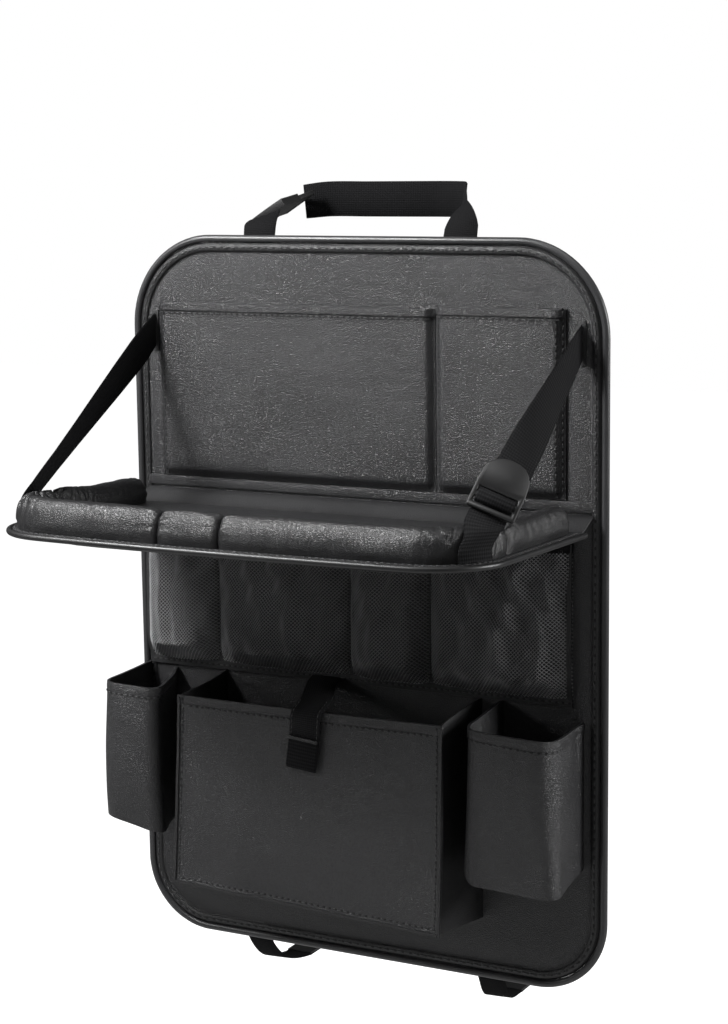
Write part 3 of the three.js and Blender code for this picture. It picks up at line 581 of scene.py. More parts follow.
def makePanel():
    piece = copyOf("back_panel", "panelField")
    bpy.ops.mesh.dissolve_limited(angle_limit=math.radians(2))
    bpy.ops.mesh.select_all(action="DESELECT")
    done()
    for f in piece.data.polygons:
        f.select = f.normal.y < -0.9
    bpy.ops.object.mode_set(mode="EDIT")
    bpy.ops.mesh.select_mode(type="FACE")
    for width, lift in panelSet["steps"]:
        bpy.ops.mesh.inset(thickness=width, depth=lift, use_even_offset=True)
    bpy.ops.mesh.select_mode(type="VERT")
    done()
    smoothShade(piece, 60)
    finishPiece(piece, "leather", "leather", "panel", "back_panel")


edgeSet = {
    "radius": 0.0031, "ripple": 0.00009, "rippleScale": 130,
    # the band beside the piping: distance from the edge, and y
    "band": (
        (0.0062, -0.003), (0.0078, -0.0046), (0.0084, -0.0053), (0.0094, -0.0056),
        (0.0122, -0.0056), (0.0134, -0.0052), (0.014, -0.0044),
    ),
    "sewn": 0.0108, "sewnY": -0.006, "pitch": 0.0072, "stitch": 1.25,
}


def makePipe():
    s = edgeSet
    points = outline(s["radius"])
    curve = bpy.data.curves.new("edgePipe", "CURVE")
    curve.dimensions = "3D"
    curve.bevel_depth = s["radius"]
    curve.bevel_resolution = 4
    path = curve.splines.new("POLY")
    path.points.add(len(points) - 1)
    for i, (x, z) in enumerate(points):
        path.points[i].co = (x, -s["radius"], z, 1)
    path.use_cyclic_u = True
    only(addObject("edgePipe", curve))
    bpy.ops.object.convert(target="MESH")
    pipe = bpy.context.object
    editAll(pipe)
    bpy.ops.mesh.subdivide(number_cuts=2)
    done()
    co = getPoints(pipe)
    ripple = noiseOf(co, (s["rippleScale"],) * 3, 3)[:, None] * s["ripple"]
    setPoints(pipe, co + readAll(pipe, "normal") * ripple)
    smoothShade(pipe, 180)
    finishPiece(pipe, "piping", "binding", "panel", "edge_binding")


def makeBand():
    s = edgeSet
    rings = [[(x, y, z) for x, z in outline(inset)] for inset, y in s["band"]]
    band = newMesh("edgeBand", sum(rings, []), ringFaces(len(rings), len(rings[0]), True))
    smoothShade(band, 60)
    finishPiece(band, "leatherSmooth", "binding", "panel")
    seam = [(x, s["sewnY"], z) for x, z in outline(s["sewn"])]
    sewLines("edgeStitches", [([*seam, seam[0]], front)], [band], "panel", s["pitch"], s["stitch"])


makePanel()
makePipe()
makeBand()
print("panel made")


# flat pockets over the tray
flatSet = {
    "seeds": {"upper": 1.3, "phone": 4.1}, "bevel": 0.0003,
    "wave": 0.0012, "scale": (11, 11, 16), "still": 0.02,
    "hem": 0.0085, "edge": 0.002, "inner": 0.0065, "short": 0.01, "phoneEdge": 0.0035, "sewnY": -0.012,
}


def flatPocket(kind):
    s, node = flatSet, f"{kind}_pocket"
    piece = softCopy(node, f"{kind}Pocket", 2, s["bevel"])
    low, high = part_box(node)
    co = getPoints(piece)
    wave = noiseOf(co * np.array([1, 0, 1]), s["scale"], s["seeds"][kind])
    side = ramp((co[:, 0] - low.x) / s["still"]) * ramp((high.x - co[:, 0]) / s["still"])
    co[:, 1] += wave * (side * ramp((co[:, 2] - low.z) / s["still"])) * s["wave"]
    setPoints(piece, co)
    return finishPiece(piece, "leather", "leather", "panel", node), low, high


def vertical(x, low, high):
    return [(x, flatSet["sewnY"], z) for z in np.linspace(low, high, 40)], front


def level(z, low, high):
    return [(x, flatSet["sewnY"], z) for x in np.linspace(low, high, 60)], front


def flatPockets():
    s = flatSet
    edge, inner = s["edge"], s["inner"]
    upper, left, leftTop = flatPocket("upper")
    phone, right, rightTop = flatPocket("phone")
    lines = [
        level(leftTop.z - s["hem"], left.x + edge, leftTop.x - edge),
        level(rightTop.z - s["hem"], right.x + edge, rightTop.x - edge),
        vertical(left.x + edge, left.z, leftTop.z),
        vertical(left.x + inner, left.z, leftTop.z - s["short"]),
        vertical(right.x + s["phoneEdge"], right.z, rightTop.z),
        vertical(rightTop.x - edge, right.z, rightTop.z),
        vertical(rightTop.x - inner, right.z, rightTop.z - s["short"]),
    ]
    sewLines("pocketStitches", lines, [upper, phone], "panel")


flatPockets()
print("flat pockets made")


# net pocket: diamond net, gathered, with tapes
netSet = {
    "left": -0.211, "right": 0.190, "low": -0.066, "high": 0.066, "back": -0.0046,
    "seams": (-0.139, -0.010, 0.064), "across": 132, "down": 42, "thread": 0.0004,
    # how far it stands out, how fast it closes at its foot, and the folds' share at the foot and the seams
    "room": 0.026, "least": 0.0002, "round": 0.6, "taper": 0.45, "shut": 5,
    "fold": 0.0034, "footShare": 0.35, "seamShare": 0.3,
    "pleats": (0.034, 0.0189), "finePleat": 0.55, "drift": 0.022, "fineDrift": 1.7,
    "crumple": 0.0022, "fineCrumple": 0.5, "lift": 0.0012,
    # noise: scale across, scale up and start
    "driftNoise": (8, 1.6, 2.0), "crumpleNoise": (34, 4.5, 5.0), "fineNoise": (80, 9, 9.0),
    "liftNoise": (30, 2, 7.0),
    "sewn": (-0.0635, -0.209, 0.188),
}
netTapes = {
    "top": {"at": 0.985, "fold": 0.6, "out": 0.0004, "width": 0.010, "thick": 0.0016, "parts": 200},
    "low": {"at": 0.02, "fold": 0, "out": 0.0008, "width": 0.008, "thick": 0.0014, "parts": 120},
    "seam": {"inset": 0.002, "fold": 0, "out": 0.0006, "width": 0.0045, "thick": 0.0012, "parts": 24},
}


def netNoise(kind, x, v):
    across, up, start = netSet[kind]
    return noise.noise(Vector((x * across, v * up, start)))


def netPlace(u, v, fold=1.0):
    # u runs from 0 to 1 across the net, v from its foot to its top
    s = netSet
    x = s["left"] + (s["right"] - s["left"]) * u
    borders = (s["left"], *s["seams"], s["right"])
    n = max(next(i for i, b in enumerate(borders) if b >= x - 1e-9), 1)
    t = min(max((x - borders[n - 1]) / (borders[n] - borders[n - 1]), 0), 1)
    across = math.sin(math.pi * t)
    shut = rampOf(v * s["shut"])
    stand = s["room"] * across ** s["round"] * (1 - s["taper"] * v) * shut
    drift = netNoise("driftNoise", x, v) * s["drift"]
    wide, narrow = s["pleats"]
    pleat = math.sin((x + drift) * 2 * math.pi / wide)
    pleat += s["finePleat"] * math.sin((x - drift * s["fineDrift"]) * 2 * math.pi / narrow + 1)
    crumple = netNoise("crumpleNoise", x, v) + s["fineCrumple"] * netNoise("fineNoise", x, v)
    folds = s["fold"] * pleat * (s["footShare"] + (1 - s["footShare"]) * v) + s["crumple"] * crumple
    stand += fold * (shut * (s["seamShare"] + (1 - s["seamShare"]) * across)) * folds
    lift = netNoise("liftNoise", x, v) * s["lift"] if 0.02 < v < 0.98 else 0
    z = s["low"] + (s["high"] - s["low"]) * v + lift
    return Vector((x, s["back"] - max(stand, s["least"]), z))


def makeNet():
    s = netSet
    rows, columns = s["down"] * 2, s["across"] * 2
    points, faces, index = [], [], {}
    for j in range(rows + 1):
        for i in range(columns + 1):
            if (i + j) % 2 == 0:
                index[i, j] = len(points)
                points.append(netPlace(i / columns, j / rows))
    for j in range(1, rows):
        for i in range(1, columns):
            if (i + j) % 2 == 1:
                faces.append((index[i, j - 1], index[i + 1, j], index[i, j + 1], index[i - 1, j]))
    piece = newMesh("netPocket", points, faces)
    mod = piece.modifiers.new("threads", "WIREFRAME")
    mod.thickness = s["thread"] * 2
    mod.use_even_offset = False
    mod.use_boundary = True
    applyAll(piece)
    smoothShade(piece, 80)
    finishPiece(piece, "netThread", "mesh", "panel", "mesh_pocket")


# a strip's cross section in shares of its width and thickness; its back has a place of its own in the map
tapeSet = {
    "profile": (
        (-0.5, 0.0), (-0.46, 0.5), (0, 0.55), (0.46, 0.5),
        (0.5, 0.0), (0.46, -0.5), (0, -0.5), (-0.46, -0.5),
    ),
    "backMap": 0.4, "thick": 0.0018,
}


def tape(name, spots, across, width, thick, look, body, slotName="webbing"):
    # flat strip through spots, with its width along across; thick may be a function of the way along
    points, uv = [], []
    spots = [Vector(p) for p in spots]
    last = len(spots) - 1
    along = 0.0
    for i, p in enumerate(spots):
        ahead = (spots[min(i + 1, last)] - spots[max(i - 1, 0)]).normalized()
        if isinstance(across, list):
            wide = across[i].normalized()
        else:
            wide = Vector(across)
            wide = (wide - wide.dot(ahead) * ahead).normalized()
        out = ahead.cross(wide)
        if i:
            along += (p - spots[i - 1]).length
        deep = thick(i / last) if callable(thick) else thick
        for w, t in tapeSet["profile"]:
            points.append(p + wide * (w * width) + out * (t * deep))
            uv.append((along, (w + 0.5) * width + (tapeSet["backMap"] if t < 0 else 0)))
    count = len(tapeSet["profile"])
    ends = [tuple(range(count)), tuple(range(last * count, (last + 1) * count))]
    piece = newMesh(name, points, ringFaces(last + 1, count) + ends, uv)
    smoothShade(piece, 50)
    return finishPiece(piece, look, slotName, body)


def netTape(kind, name, look, slotName, u=None):
    # along the net at one height, or up it at the place u
    s = netTapes[kind]
    shift = Vector((0, -s["out"], 0))
    places = [(t, s["at"]) if u is None else (u, t) for t in np.linspace(0, 1, s["parts"])]
    spots = [netPlace(*p, s["fold"]) + shift for p in places]
    across = (0, 0, 1) if u is None else (1, 0, 0)
    return tape(name, spots, across, s["width"], s["thick"], look, "panel", slotName)


makeNet()
netTape("top", "netTopTape", "webbingFine", "mesh")
lowTape = netTape("low", "netLowTape", "leatherDark", "leather")
netEnds = netSet["left"] + netTapes["seam"]["inset"], netSet["right"] - netTapes["seam"]["inset"]
for n, seam in enumerate((*netSet["seams"], *netEnds)):
    at = (seam - netSet["left"]) / (netSet["right"] - netSet["left"])
    netTape("seam", f"netSeamTape{n + 1}", "leatherDark", "leather", at)
sewLines("netStitches", [level(*netSet["sewn"])], [lowTape], "panel")
print("net made")


# pockets that stand out below
sheetShared = {
    "look": "leatherDark", "level": 2, "bevel": 0.0003, "sharp": 48,
    "scale": (13, 13, 9), "fine": 2.7, "fineShare": 0.4, "from": -0.006, "over": 0.02,
}
sheetSets = {
    "boxFront": {"node": "box_pocket_front", "look": "leather", "level": 3, "wave": 0.0022, "seed": 2.2},
    "boxSideLeft": {"node": "box_pocket_side_left", "wave": 0.001, "seed": 3.2},
    "boxSideRight": {"node": "box_pocket_side_right", "wave": 0.001, "seed": 4.2},
    "boxFloor": {"node": "box_pocket_floor", "wave": 0.0004, "seed": 5.2},
    "cupWall": {
        "node": "cup_pocket_wall", "look": "leather", "level": 3, "wave": 0.0024, "seed": 6.2,
        "scale": (18, 18, 11), "sharp": 75,
    },
    "cupFloor": {"node": "cup_pocket_floor", "level": 0, "wave": 0.0, "seed": 7.2},
    "tallWall": {
        "node": "tall_pocket_wall", "look": "leather", "level": 3, "wave": 0.003, "seed": 8.2,
        "scale": (16, 16, 12), "sharp": 75,
    },
    "tallFloor": {"node": "tall_pocket_floor", "level": 0, "wave": 0.0, "seed": 9.2},
}
cornerSet = {
    "bulge": 0.0042, "frontY": -0.06, "cornerY": -0.05, "over": 0.02,
    "cupTop": -0.067, "cupLow": -0.190, "cupFlare": 0.007, "cupY": -0.03, "cupDeep": 0.04,
    "cupLeft": -0.15, "cupWide": 0.058,
    "tallTop": -0.067, "tallLow": -0.203, "tallLeft": 0.124, "tallRound": 0.014,
}


def bulge(co, top, low):
    # the front stands out a little between its corners
    s = cornerSet
    face = co[co[:, 1] < s["frontY"]]
    left, right = face[:, 0].min(), face[:, 0].max()
    across = 1 - np.clip(np.abs(2 * (co[:, 0] - left) / (right - left) - 1), 0, 1) ** 2
    along = 1 - np.abs(2 * np.clip((co[:, 2] - low) / (top - low), 0, 1) - 1) ** 3
    co[:, 1] -= s["bulge"] * across * along * ramp((s["cornerY"] - co[:, 1]) / s["over"])


def cupShape(co):
    # the cup pocket's foot spreads outwards
    s = cornerSet
    bulge(co, s["cupTop"], s["cupLow"])
    down = np.clip((s["cupTop"] - co[:, 2]) / (s["cupTop"] - s["cupLow"]), 0, 1)
    outer = np.clip((s["cupLeft"] - co[:, 0]) / s["cupWide"], 0, 1)
    co[:, 0] -= s["cupFlare"] * down * ramp((s["cupY"] - co[:, 1]) / s["cupDeep"]) * outer


def tallShape(co):
    # the tall pocket's lower left corner is turned in a round
    s = cornerSet
    bulge(co, s["tallTop"], s["tallLow"])
    down = np.clip((s["tallTop"] - co[:, 2]) / (s["tallTop"] - s["tallLow"]), 0, 1)
    near = np.clip(1 - (co[:, 0] - s["tallLeft"]) / s["tallRound"], 0, 1)
    turn = s["tallRound"] * (1 - np.sqrt(1 - near**2))
    co[:, 2] += turn * ramp(down * 3 - 2) * ramp((s["cornerY"] - co[:, 1]) / s["over"])


def sheetCopy(name):
    s = {**sheetShared, **sheetSets[name]}
    piece = softCopy(s["node"], name, s["level"], s["bevel"], s["sharp"])
    co = getPoints(piece)
    if name.startswith("cup"):
        cupShape(co)
    if name.startswith("tall"):
        tallShape(co)
    scale, seed = s["scale"], s["seed"]
    finer = tuple(k * s["fine"] for k in scale)
    wave = noiseOf(co, scale, seed) + s["fineShare"] * noiseOf(co, finer, seed + 5)
    shove = np.stack([noiseOf(co, scale, seed + 9), wave, np.zeros(len(co))], axis=1)
    keep = ramp((s["from"] - co[:, 1]) / s["over"])[:, None]
    setPoints(piece, co + shove * s["wave"] * keep)
    smoothShade(piece, copySet["shade"])
    return finishPiece(piece, s["look"], "leather", "panel", s["node"])


sheets = {name: sheetCopy(name) for name in sheetSets}

boxSet = {
    "left": -0.1355, "right": 0.112, "top": -0.073, "bottom": -0.24, "frontY": -0.09,
    "flare": 0.005, "sag": 0.01, "seam": 0.0053, "hem": 0.0085,
}
ridgeSet = {
    "width": 0.0026, "thick": 0.0018, "before": -0.14, "reach": 0.1,
    # from, to and the way across
    "lines": {
        "boxRidgeLeft": ((0.007, 0.01), (0.007, 0.99), (1, 0, 0)),
        "boxRidgeRight": ((0.993, 0.01), (0.993, 0.99), (1, 0, 0)),
        "boxRidgeLow": ((0.012, 0.009), (0.988, 0.009), (0, 0, 1)),
    },
}


def boxLine(a, b):
    # from a to b on the front, whose x and z run from 0 to 1
    s = boxSet
    line = []
    for t in np.linspace(0, 1, 30):
        x, z = a[0] + (b[0] - a[0]) * t, a[1] + (b[1] - a[1]) * t
        low = s["bottom"] + s["sag"] * (0.5 - x)
        left = s["left"] - s["flare"] * (1 - z)
        line.append((left + (s["right"] - left) * x, s["frontY"], low + (s["top"] - low) * z))
    return line


def boxSeams():
    s = boxSet
    width, height = s["right"] - s["left"], s["top"] - s["bottom"]
    x, z, hem = s["seam"] / width, s["seam"] / height, 1 - s["hem"] / height
    lines = [
        (boxLine((0.01, hem), (0.99, hem)), front),
        (boxLine((x, 0.02), (x, 0.985)), front),
        (boxLine((1 - x, 0.02), (1 - x, 0.985)), front),
        (boxLine((0.02, z), (0.98, z)), front),
    ]
    sewLines("boxStitches", lines, [sheets["boxFront"]], "panel")


def boxRidges():
    # folded edges of the leather, raised along the seams
    s = ridgeSet
    tree = treeOf(sheets["boxFront"])
    for name, (a, b, across) in s["lines"].items():
        spots = []
        for x, _, z in boxLine(a, b):
            hit = tree.ray_cast(Vector((x, s["before"], z)), Vector((0, 1, 0)), s["reach"])[0]
            if hit is not None:
                spots.append(hit)
        tape(name, spots, across, s["width"], s["thick"], "leatherSmooth", "panel", "leather")


boxSeams()
boxRidges()

wrapSet = {
    "cup": {"top": -0.0666, "tilt": 0.003, "dip": 0.001, "hem": 0.0085},
    "tall": {"top": -0.067, "tilt": 0.012, "dip": 0.002, "hem": 0.0085},
}
# where the seams round the walls start and end, and the turn between them in degrees
wrapPath = {"from": 0.12, "to": 0.88, "start": 175, "turn": 190, "middleY": -0.04, "reach": 0.2}


def wrapSeam(kind):
    s, p = wrapSet[kind], wrapPath
    low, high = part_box(f"{kind}_pocket_wall")
    middle = Vector(((low.x + high.x) / 2, p["middleY"], 0))
    wall = sheets[f"{kind}Wall"]
    tree = treeOf(wall)
    line = []
    for t in np.linspace(p["from"], p["to"], 110):
        a = math.radians(p["start"] + p["turn"] * t)
        d = Vector((math.cos(a), math.sin(a), 0))
        z = s["top"] - s["tilt"] * t - s["dip"] * math.sin(math.pi * t) - s["hem"]
        hit = tree.ray_cast(middle + d * p["reach"] + Vector((0, 0, z)), -d, p["reach"])[0]
        if hit is not None:
            line.append(hit)
    sewLines(f"{kind}Stitches", [(line, lambda q: Vector((q[0], q[1], 0)) - middle)], [wall], "panel")


wrapSeam("cup")
wrapSeam("tall")
print("standing pockets made")


# straps: the same routes as in the frame
def spline(points, count):
    # centripetal curve through points
    p = [np.array(q, float) for q in points]
    p = [2 * p[0] - p[1], *p, 2 * p[-1] - p[-2]]
    made = []
    for s in np.linspace(0, len(points) - 1, count):
        i = min(int(s), len(points) - 2)
        w = s - i
        a, b, c, d = p[i : i + 4]
        t0, t1, t2 = (max(np.linalg.norm(m - n) ** 0.5, 1e-4) for m, n in ((b, a), (c, b), (d, c)))
        m1 = ((b - a) / t0 - (c - a) / (t0 + t1) + (c - b) / t1) * t1
        m2 = ((c - b) / t1 - (d - b) / (t1 + t2) + (d - c) / t2) * t1
        near = (2 * w**3 - 3 * w**2 + 1) * b + (w**3 - 2 * w**2 + w) * m1
        made.append(near + (-2 * w**3 + 3 * w**2) * c + (w**3 - w**2) * m2)
    return [Vector(m) for m in made]


def strap(name, stops, width, look, body, count, *replaced, thick=tapeSet["thick"]):
    # each stop: its place, and the way the webbing's width lies there
    line = spline([s[:3] for s in stops], count)
    wide = []
    for s in np.linspace(0, len(stops) - 1, count):
        i = min(int(s), len(stops) - 2)
        a, b = Vector(stops[i][3:]).normalized(), Vector(stops[i + 1][3:]).normalized()
        wide.append(a.lerp(b, s - i).normalized())
    piece = tape(name, line, wide, width, thick, look, body)
    if replaced:
        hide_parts(*replaced)
    return piece, line, wide


traySet = {
    "hingeY": -0.0345, "hingeZ": 0.0815, "tilt": 1.5,
    "half": 0.215, "depth": 0.206, "corner": 0.055, "roll": 0.026,
}


def trayPoint(x, out, up):
    s = traySet
    a = math.radians(s["tilt"])
    y = s["hingeY"] - out * math.cos(a) + up * math.sin(a)
    return Vector((x, y, s["hingeZ"] + out * math.sin(a) + up * math.cos(a)))


# degrees round the tray's corner: the sewn end, the crossing over the roll and the turn there
sideSet = {
    "anchor": (0.1975, -0.0066, 0.226), "width": 0.029, "over": 0.0125, "below": 0.0054,
    "beside": 0.006, "rise": 0.0008, "outwards": 0.0015, "halfOut": 0.0018, "halfDown": 0.005,
    "besideUp": 0.4, "endUp": 0.0018, "ease": 0.3, "parts": 6, "count": 130, "follow": 0.92,
    "Left": {"side": -1, "low": 90, "over": 90, "turn": 75, "back": 0.006, "look": "webbingPale"},
    "Right": {"side": 1, "low": 58, "over": 76, "turn": 45, "back": 0.0, "look": "webbingCoarse"},
}


def follow(piece, top, over):
    top.lerp(over, sideSet["follow"])
    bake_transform(piece)
    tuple(top)


def sideStrap(label):
    s, o = traySet, sideSet
    path = o[label]
    side, low, roll = path["side"], path["low"], s["roll"]

    def around(degrees, inset, up):
        a, r = math.radians(degrees), s["corner"] - inset
        out = s["depth"] - s["corner"] + o["outwards"] - path["back"] + r * math.cos(a)
        return trayPoint(side * (s["half"] - s["corner"] + r * math.sin(a)), out, up)

    def facing(degrees):
        return Vector((-side * math.cos(math.radians(degrees)), -math.sin(math.radians(degrees)), 0))

    over = around(path["over"], o["over"], roll + o["rise"])
    x, y, z = o["anchor"]
    top = Vector((side * x, y, z))
    along = (top - over).normalized()

    def square(v):
        return (v - v.dot(along) * along).normalized()

    upright, turned = Vector((0, 0, 1)), facing(path["turn"])
    stops = [(*top, *upright)]
    for i in range(1, o["parts"]):
        t = i / o["parts"]
        stops.append((*top.lerp(over, t), *square(upright).lerp(square(turned), rampOf(t)).normalized()))
    halfway = around((low + path["over"]) / 2, o["beside"] + o["halfOut"], roll - o["halfDown"])
    stops.append((*over, *square(turned).lerp(turned, o["ease"]).normalized()))
    stops.append((*halfway, *facing((low + path["turn"]) / 2)))
    stops.append((*around(low, o["beside"], roll * o["besideUp"]), *facing(low)))
    stops.append((*around(low, o["below"], o["endUp"]), *facing(low)))
    node = f"tray_strap_{label.lower()}"
    piece = strap(f"trayStrap{label}", stops, o["width"], path["look"], None, o["count"], node)[0]
    follow(piece, top, over)
    return top, over, along, square(turned)


# the webbing over the adjuster's middle bar: its route along the strap and out of it
loopSet = {
    "up": 0.009, "out": 0.0018, "lift": 24, "width": 0.0285, "thick": 0.0014, "count": 26,
    "route": (
        (0.0063, -0.0004), (0.0068, 0.003), (0.0082, 0.0042), (0.0106, 0.0046),
        (0.013, 0.0042), (0.0144, 0.003), (0.0149, -0.0004),
    ),
}


def makeAdjuster(top, over, along, across):
    s = loopSet
    adjuster = softCopy("strap_adjuster", "strapAdjuster", 0, 0.0005)
    finishPiece(adjuster, "mouldedPlastic", "plastic", None, "strap_adjuster")
    follow(adjuster, top, over)
    facing = along.cross(across).normalized()
    lift = math.radians(s["lift"])
    up = along * math.cos(lift) + facing * math.sin(lift)
    out = up.cross(across).normalized()
    base = over + along * s["up"] + facing * s["out"]
    spots = spline([base + up * y + out * z for y, z in s["route"]], s["count"])
    wide = [across] * s["count"]
    follow(tape("adjusterLoop", spots, wide, s["width"], s["thick"], "webbingCoarse", None), top, over)


sideStrap("Left")
makeAdjuster(*sideStrap("Right"))


def plainCopies(look, slotName, body, level, bevel, copies):
    for name, node in copies.items():
        finishPiece(softCopy(node, name, level, bevel), look, slotName, body, node)


anchors = {"strapAnchorLeft": "strap_anchor_left", "strapAnchorRight": "strap_anchor_right"}
plainCopies("leatherDark", "webbing", "panel", 0, 0.0003, anchors)

# a strap's end on the panel's back: y, and distance inside the edge
endSet = ((-0.0014, 0.033), (-0.0014, 0.018), (-0.0011, 0.013), (0.0034, 0.004))


def sewnEnd(x, edge):
    # edge is 1 at the panel's top and -1 at its foot
    return [(x, y, edge * (panelSet["height"] / 2 - inside), 1, 0, 0) for y, inside in endSet]


def shifted(x, y, z, stops, side=1):
    return [(x + side * a, y + b, z + c, *wide) for a, b, c, *wide in stops]


# stops of the straps beyond the panel: offsets, and the way the width lies
headSet = {
    "left": -0.098, "right": 0.088, "behind": 0.088, "height": 0.335, "width": 0.030,
    "counts": (40, 170),
    "leftRise": ((-0.002, 0.010, 0.009, 1, 0.1, 0.1), (-0.005, 0.022, 0.015, 0.9, 0.2, 0.3)),
    "leftBehind": (
        (0.003, -0.010, -0.002, -0.2, 0.2, 0.95), (0.022, -0.002, 0, 0, 0, 1), (0.061, 0, 0, 0, 0, 1),
    ),
    "rightBehind": (
        (-0.055, 0, 0, 0, 0, 1), (-0.032, -0.009, 0, 0.15, -0.1, 1),
        (-0.022, -0.030, 0, 0.35, -0.5, 0.75), (-0.012, -0.052, -0.003, 0.6, -0.75, 0.25),
    ),
    "rightRise": ((-0.005, 0.020, 0.017, 0.9, -0.4, 0.15), (-0.001, 0.009, 0.007, 1, 0, 0.1)),
}
fixSet = {
    "x": 0.112, "width": 0.025, "count": 60, "hookBevel": 0.0006,
    "route": (
        (0, 0.009, -0.008, 1, 0, 0), (-0.003, 0.026, -0.026, 1, 0.1, 0),
        (-0.008, 0.058, -0.034, 1, 0.15, 0), (-0.008, 0.064, -0.0336, 1, 0.05, 0),
    ),
}


def headStraps():
    s, top = headSet, panelSet["height"] / 2
    left, right, behind, z = s["left"], s["right"], s["behind"], s["height"]
    look, body = "webbingFine", "panel"
    stops = sewnEnd(left, 1) + shifted(left, 0, top, s["leftRise"])
    strap("headStrapLeft", stops, s["width"], look, body, s["counts"][0], "headrest_strap_left")
    stops = shifted(left, behind, z, s["leftBehind"]) + [(0, behind, z, 0, 0, 1)]
    stops += shifted(right, behind, z, s["rightBehind"]) + shifted(right, 0, top, s["rightRise"])
    stops += reversed(sewnEnd(right, 1))
    strap("headStrapRight", stops, s["width"], look, body, s["counts"][1], "headrest_strap_right")


def fixStraps():
    s, low = fixSet, -panelSet["height"] / 2
    for side, label in ((-1, "Left"), (1, "Right")):
        node = f"fixing_strap_{label.lower()}"
        stops = sewnEnd(side * s["x"], -1) + shifted(side * s["x"], 0, low, s["route"], side)
        strap(f"fixStrap{label}", stops, s["width"], "webbingFine", "panel", s["count"], node)
        hook = {f"fixHook{label}": f"fixing_hook_{label.lower()}"}
        plainCopies("mouldedPlastic", "plastic", "panel", 0, s["hookBevel"], hook)


headStraps()
fixStraps()
buckle = {"buckleSocket": "buckle_socket", "bucklePlug": "buckle_plug"}
plainCopies("mouldedPlastic", "plastic", "panel", 0, 0.0009, buckle)

tabSet = {
    "high": -0.073, "drop": 0.167, "frontY": -0.0875, "lean": 0.007, "width": 0.028, "count": 90,
    # stops over the panel, then stops before the box with y from its front
    "panel": ((-0.033, -0.0092, -0.063, 1, 0, 0), (-0.029, -0.0243, -0.065, 1, 0, 0)),
    "box": (
        (-0.0085, 0.014, -0.067, 1, 0.05, 0), (-0.009, 0.00004192, -0.074, 1, 0, 0),
        (-0.0105, 0, -0.093, 1, 0, -0.1), (-0.0135, 0, -0.121, 1, 0, -0.1),
    ),
    "thickEnd": 0.0027, "endFrom": 0.86,
    "seam": 0.0118, "seamFrom": 34, "pitch": 0.0046, "stitch": 0.8,
    "patch": 17, "patchWidth": 0.0272, "patchThick": 0.0014, "patchLift": 0.0013,
    "foldWidth": 0.0028, "foldThick": 0.0016, "foldLift": 1.6,
}


def closureTab():
    s = tabSet

    def frontAt(z):
        # the box's front leans outwards from its top
        return s["frontY"] - s["lean"] * max((s["high"] - z) / s["drop"], 0)

    def thick(t):
        return s["thickEnd"] if t > s["endFrom"] else tapeSet["thick"]

    stops = [*s["panel"]]
    stops += [(x, frontAt(z) + y, z, *wide) for x, y, z, *wide in s["box"]]
    piece, line, wide = strap(
        "closureTab", stops, s["width"], "webbingPale", "panel", s["count"], "closure_tab", thick=thick
    )
    start = -s["patch"]
    sewn = []
    for side in (-1, 1):
        edge = [p + w * side * s["seam"] for p, w in zip(line, wide)]
        sewn.append((edge[s["seamFrom"] : start], front))
    lift = Vector((0, -s["patchLift"], 0))
    spots = [p + lift for p in line[start:-1]]
    width, thickness = s["patchWidth"], s["patchThick"]
    tape("tabPatch", spots, wide[start:-1], width, thickness, "webbingCoarse", "panel")
    fold = line[start] + lift * s["foldLift"]
    spots = [fold + wide[start] * t for t in np.linspace(-width / 2, width / 2, 12)]
    tape("tabFold", spots, (0, 0, 1), s["foldWidth"], s["foldThick"], "leatherSmooth", "panel")
    sewLines("tabStitches", sewn, [piece], "panel", s["pitch"], s["stitch"])


closureTab()
print("straps made")


# tray: board, piped edge, padded roll and rims; places along the roll count from the front's middle
rollSet = {
    "inset": 0.0205, "bow": 0.009, "width": 0.025, "height": 0.026,
    "sideWidth": 0.022, "sideHeight": 0.022,
    "rimFrom": 6 / 11, "sides": 0.84, "top": 0.72, "foot": 0.006,
    "step": 0.0014, "arc": 40, "base": 9, "lift": 0.0003,
    "pinch": 0.17, "pinchOver": 0.0022, "slack": 0.05, "slackOver": 0.012,
    "gather": 0.0022, "gatherOver": 0.009, "dent": 0.0009, "fine": 0.0004,
    "crease": 0.0058, "creaseWidth": 1 / 4.5, "calm": 0.5, "creaseTurn": 1.3,
    "sideCrease": 0.8, "sideFrom": 0.214, "sideOver": 0.07,
    # noise: scale along, scale round and what is added to the piece's seed
    "dentNoise": (26, 1.1, 0), "gatherNoise": (60, 6.5, 3), "creaseNoise": (120, 1.1, 6),
    "fineNoise": (130, 1.0, 9),
    "sewn": 0.0138, "sewnTo": 0.36, "pitch": 0.0052, "stitch": 1.1,
}
# node, seed, start and end of each padded piece
rollParts = {
    "rimLeft": ("tray_rim_left", 11.0, -0.3550, -0.2349),
    "rollLeft": ("tray_roll_left", 8.0, -0.2345, -0.0502),
    "rollMiddle": ("tray_roll_middle", 5.0, -0.0498, 0.0038),
    "rollRight": ("tray_roll_right", 2.0, 0.0042, 0.2345),
    "rimRight": ("tray_rim_right", 14.0, 0.2349, 0.3550),
}


def rollSpot(s):
    # the roll's middle line at s: its place on the tray and the turn of its corner so far
    t, r = traySet, traySet["corner"] - rollSet["inset"]
    half, deep = t["half"] - rollSet["inset"], t["depth"] - rollSet["inset"]
    far, straight = abs(s), half - r
    turn = min(max((far - straight) / r, 0), math.pi / 2)
    x = min(far, straight) + r * math.sin(turn)
    out = deep - r + r * math.cos(turn) - max(far - straight - r * math.pi / 2, 0)
    out += rollSet["bow"] * (1 - min(x / half, 1) ** 2) * rampOf(out / deep)
    return np.array((math.copysign(x, s), out)), turn


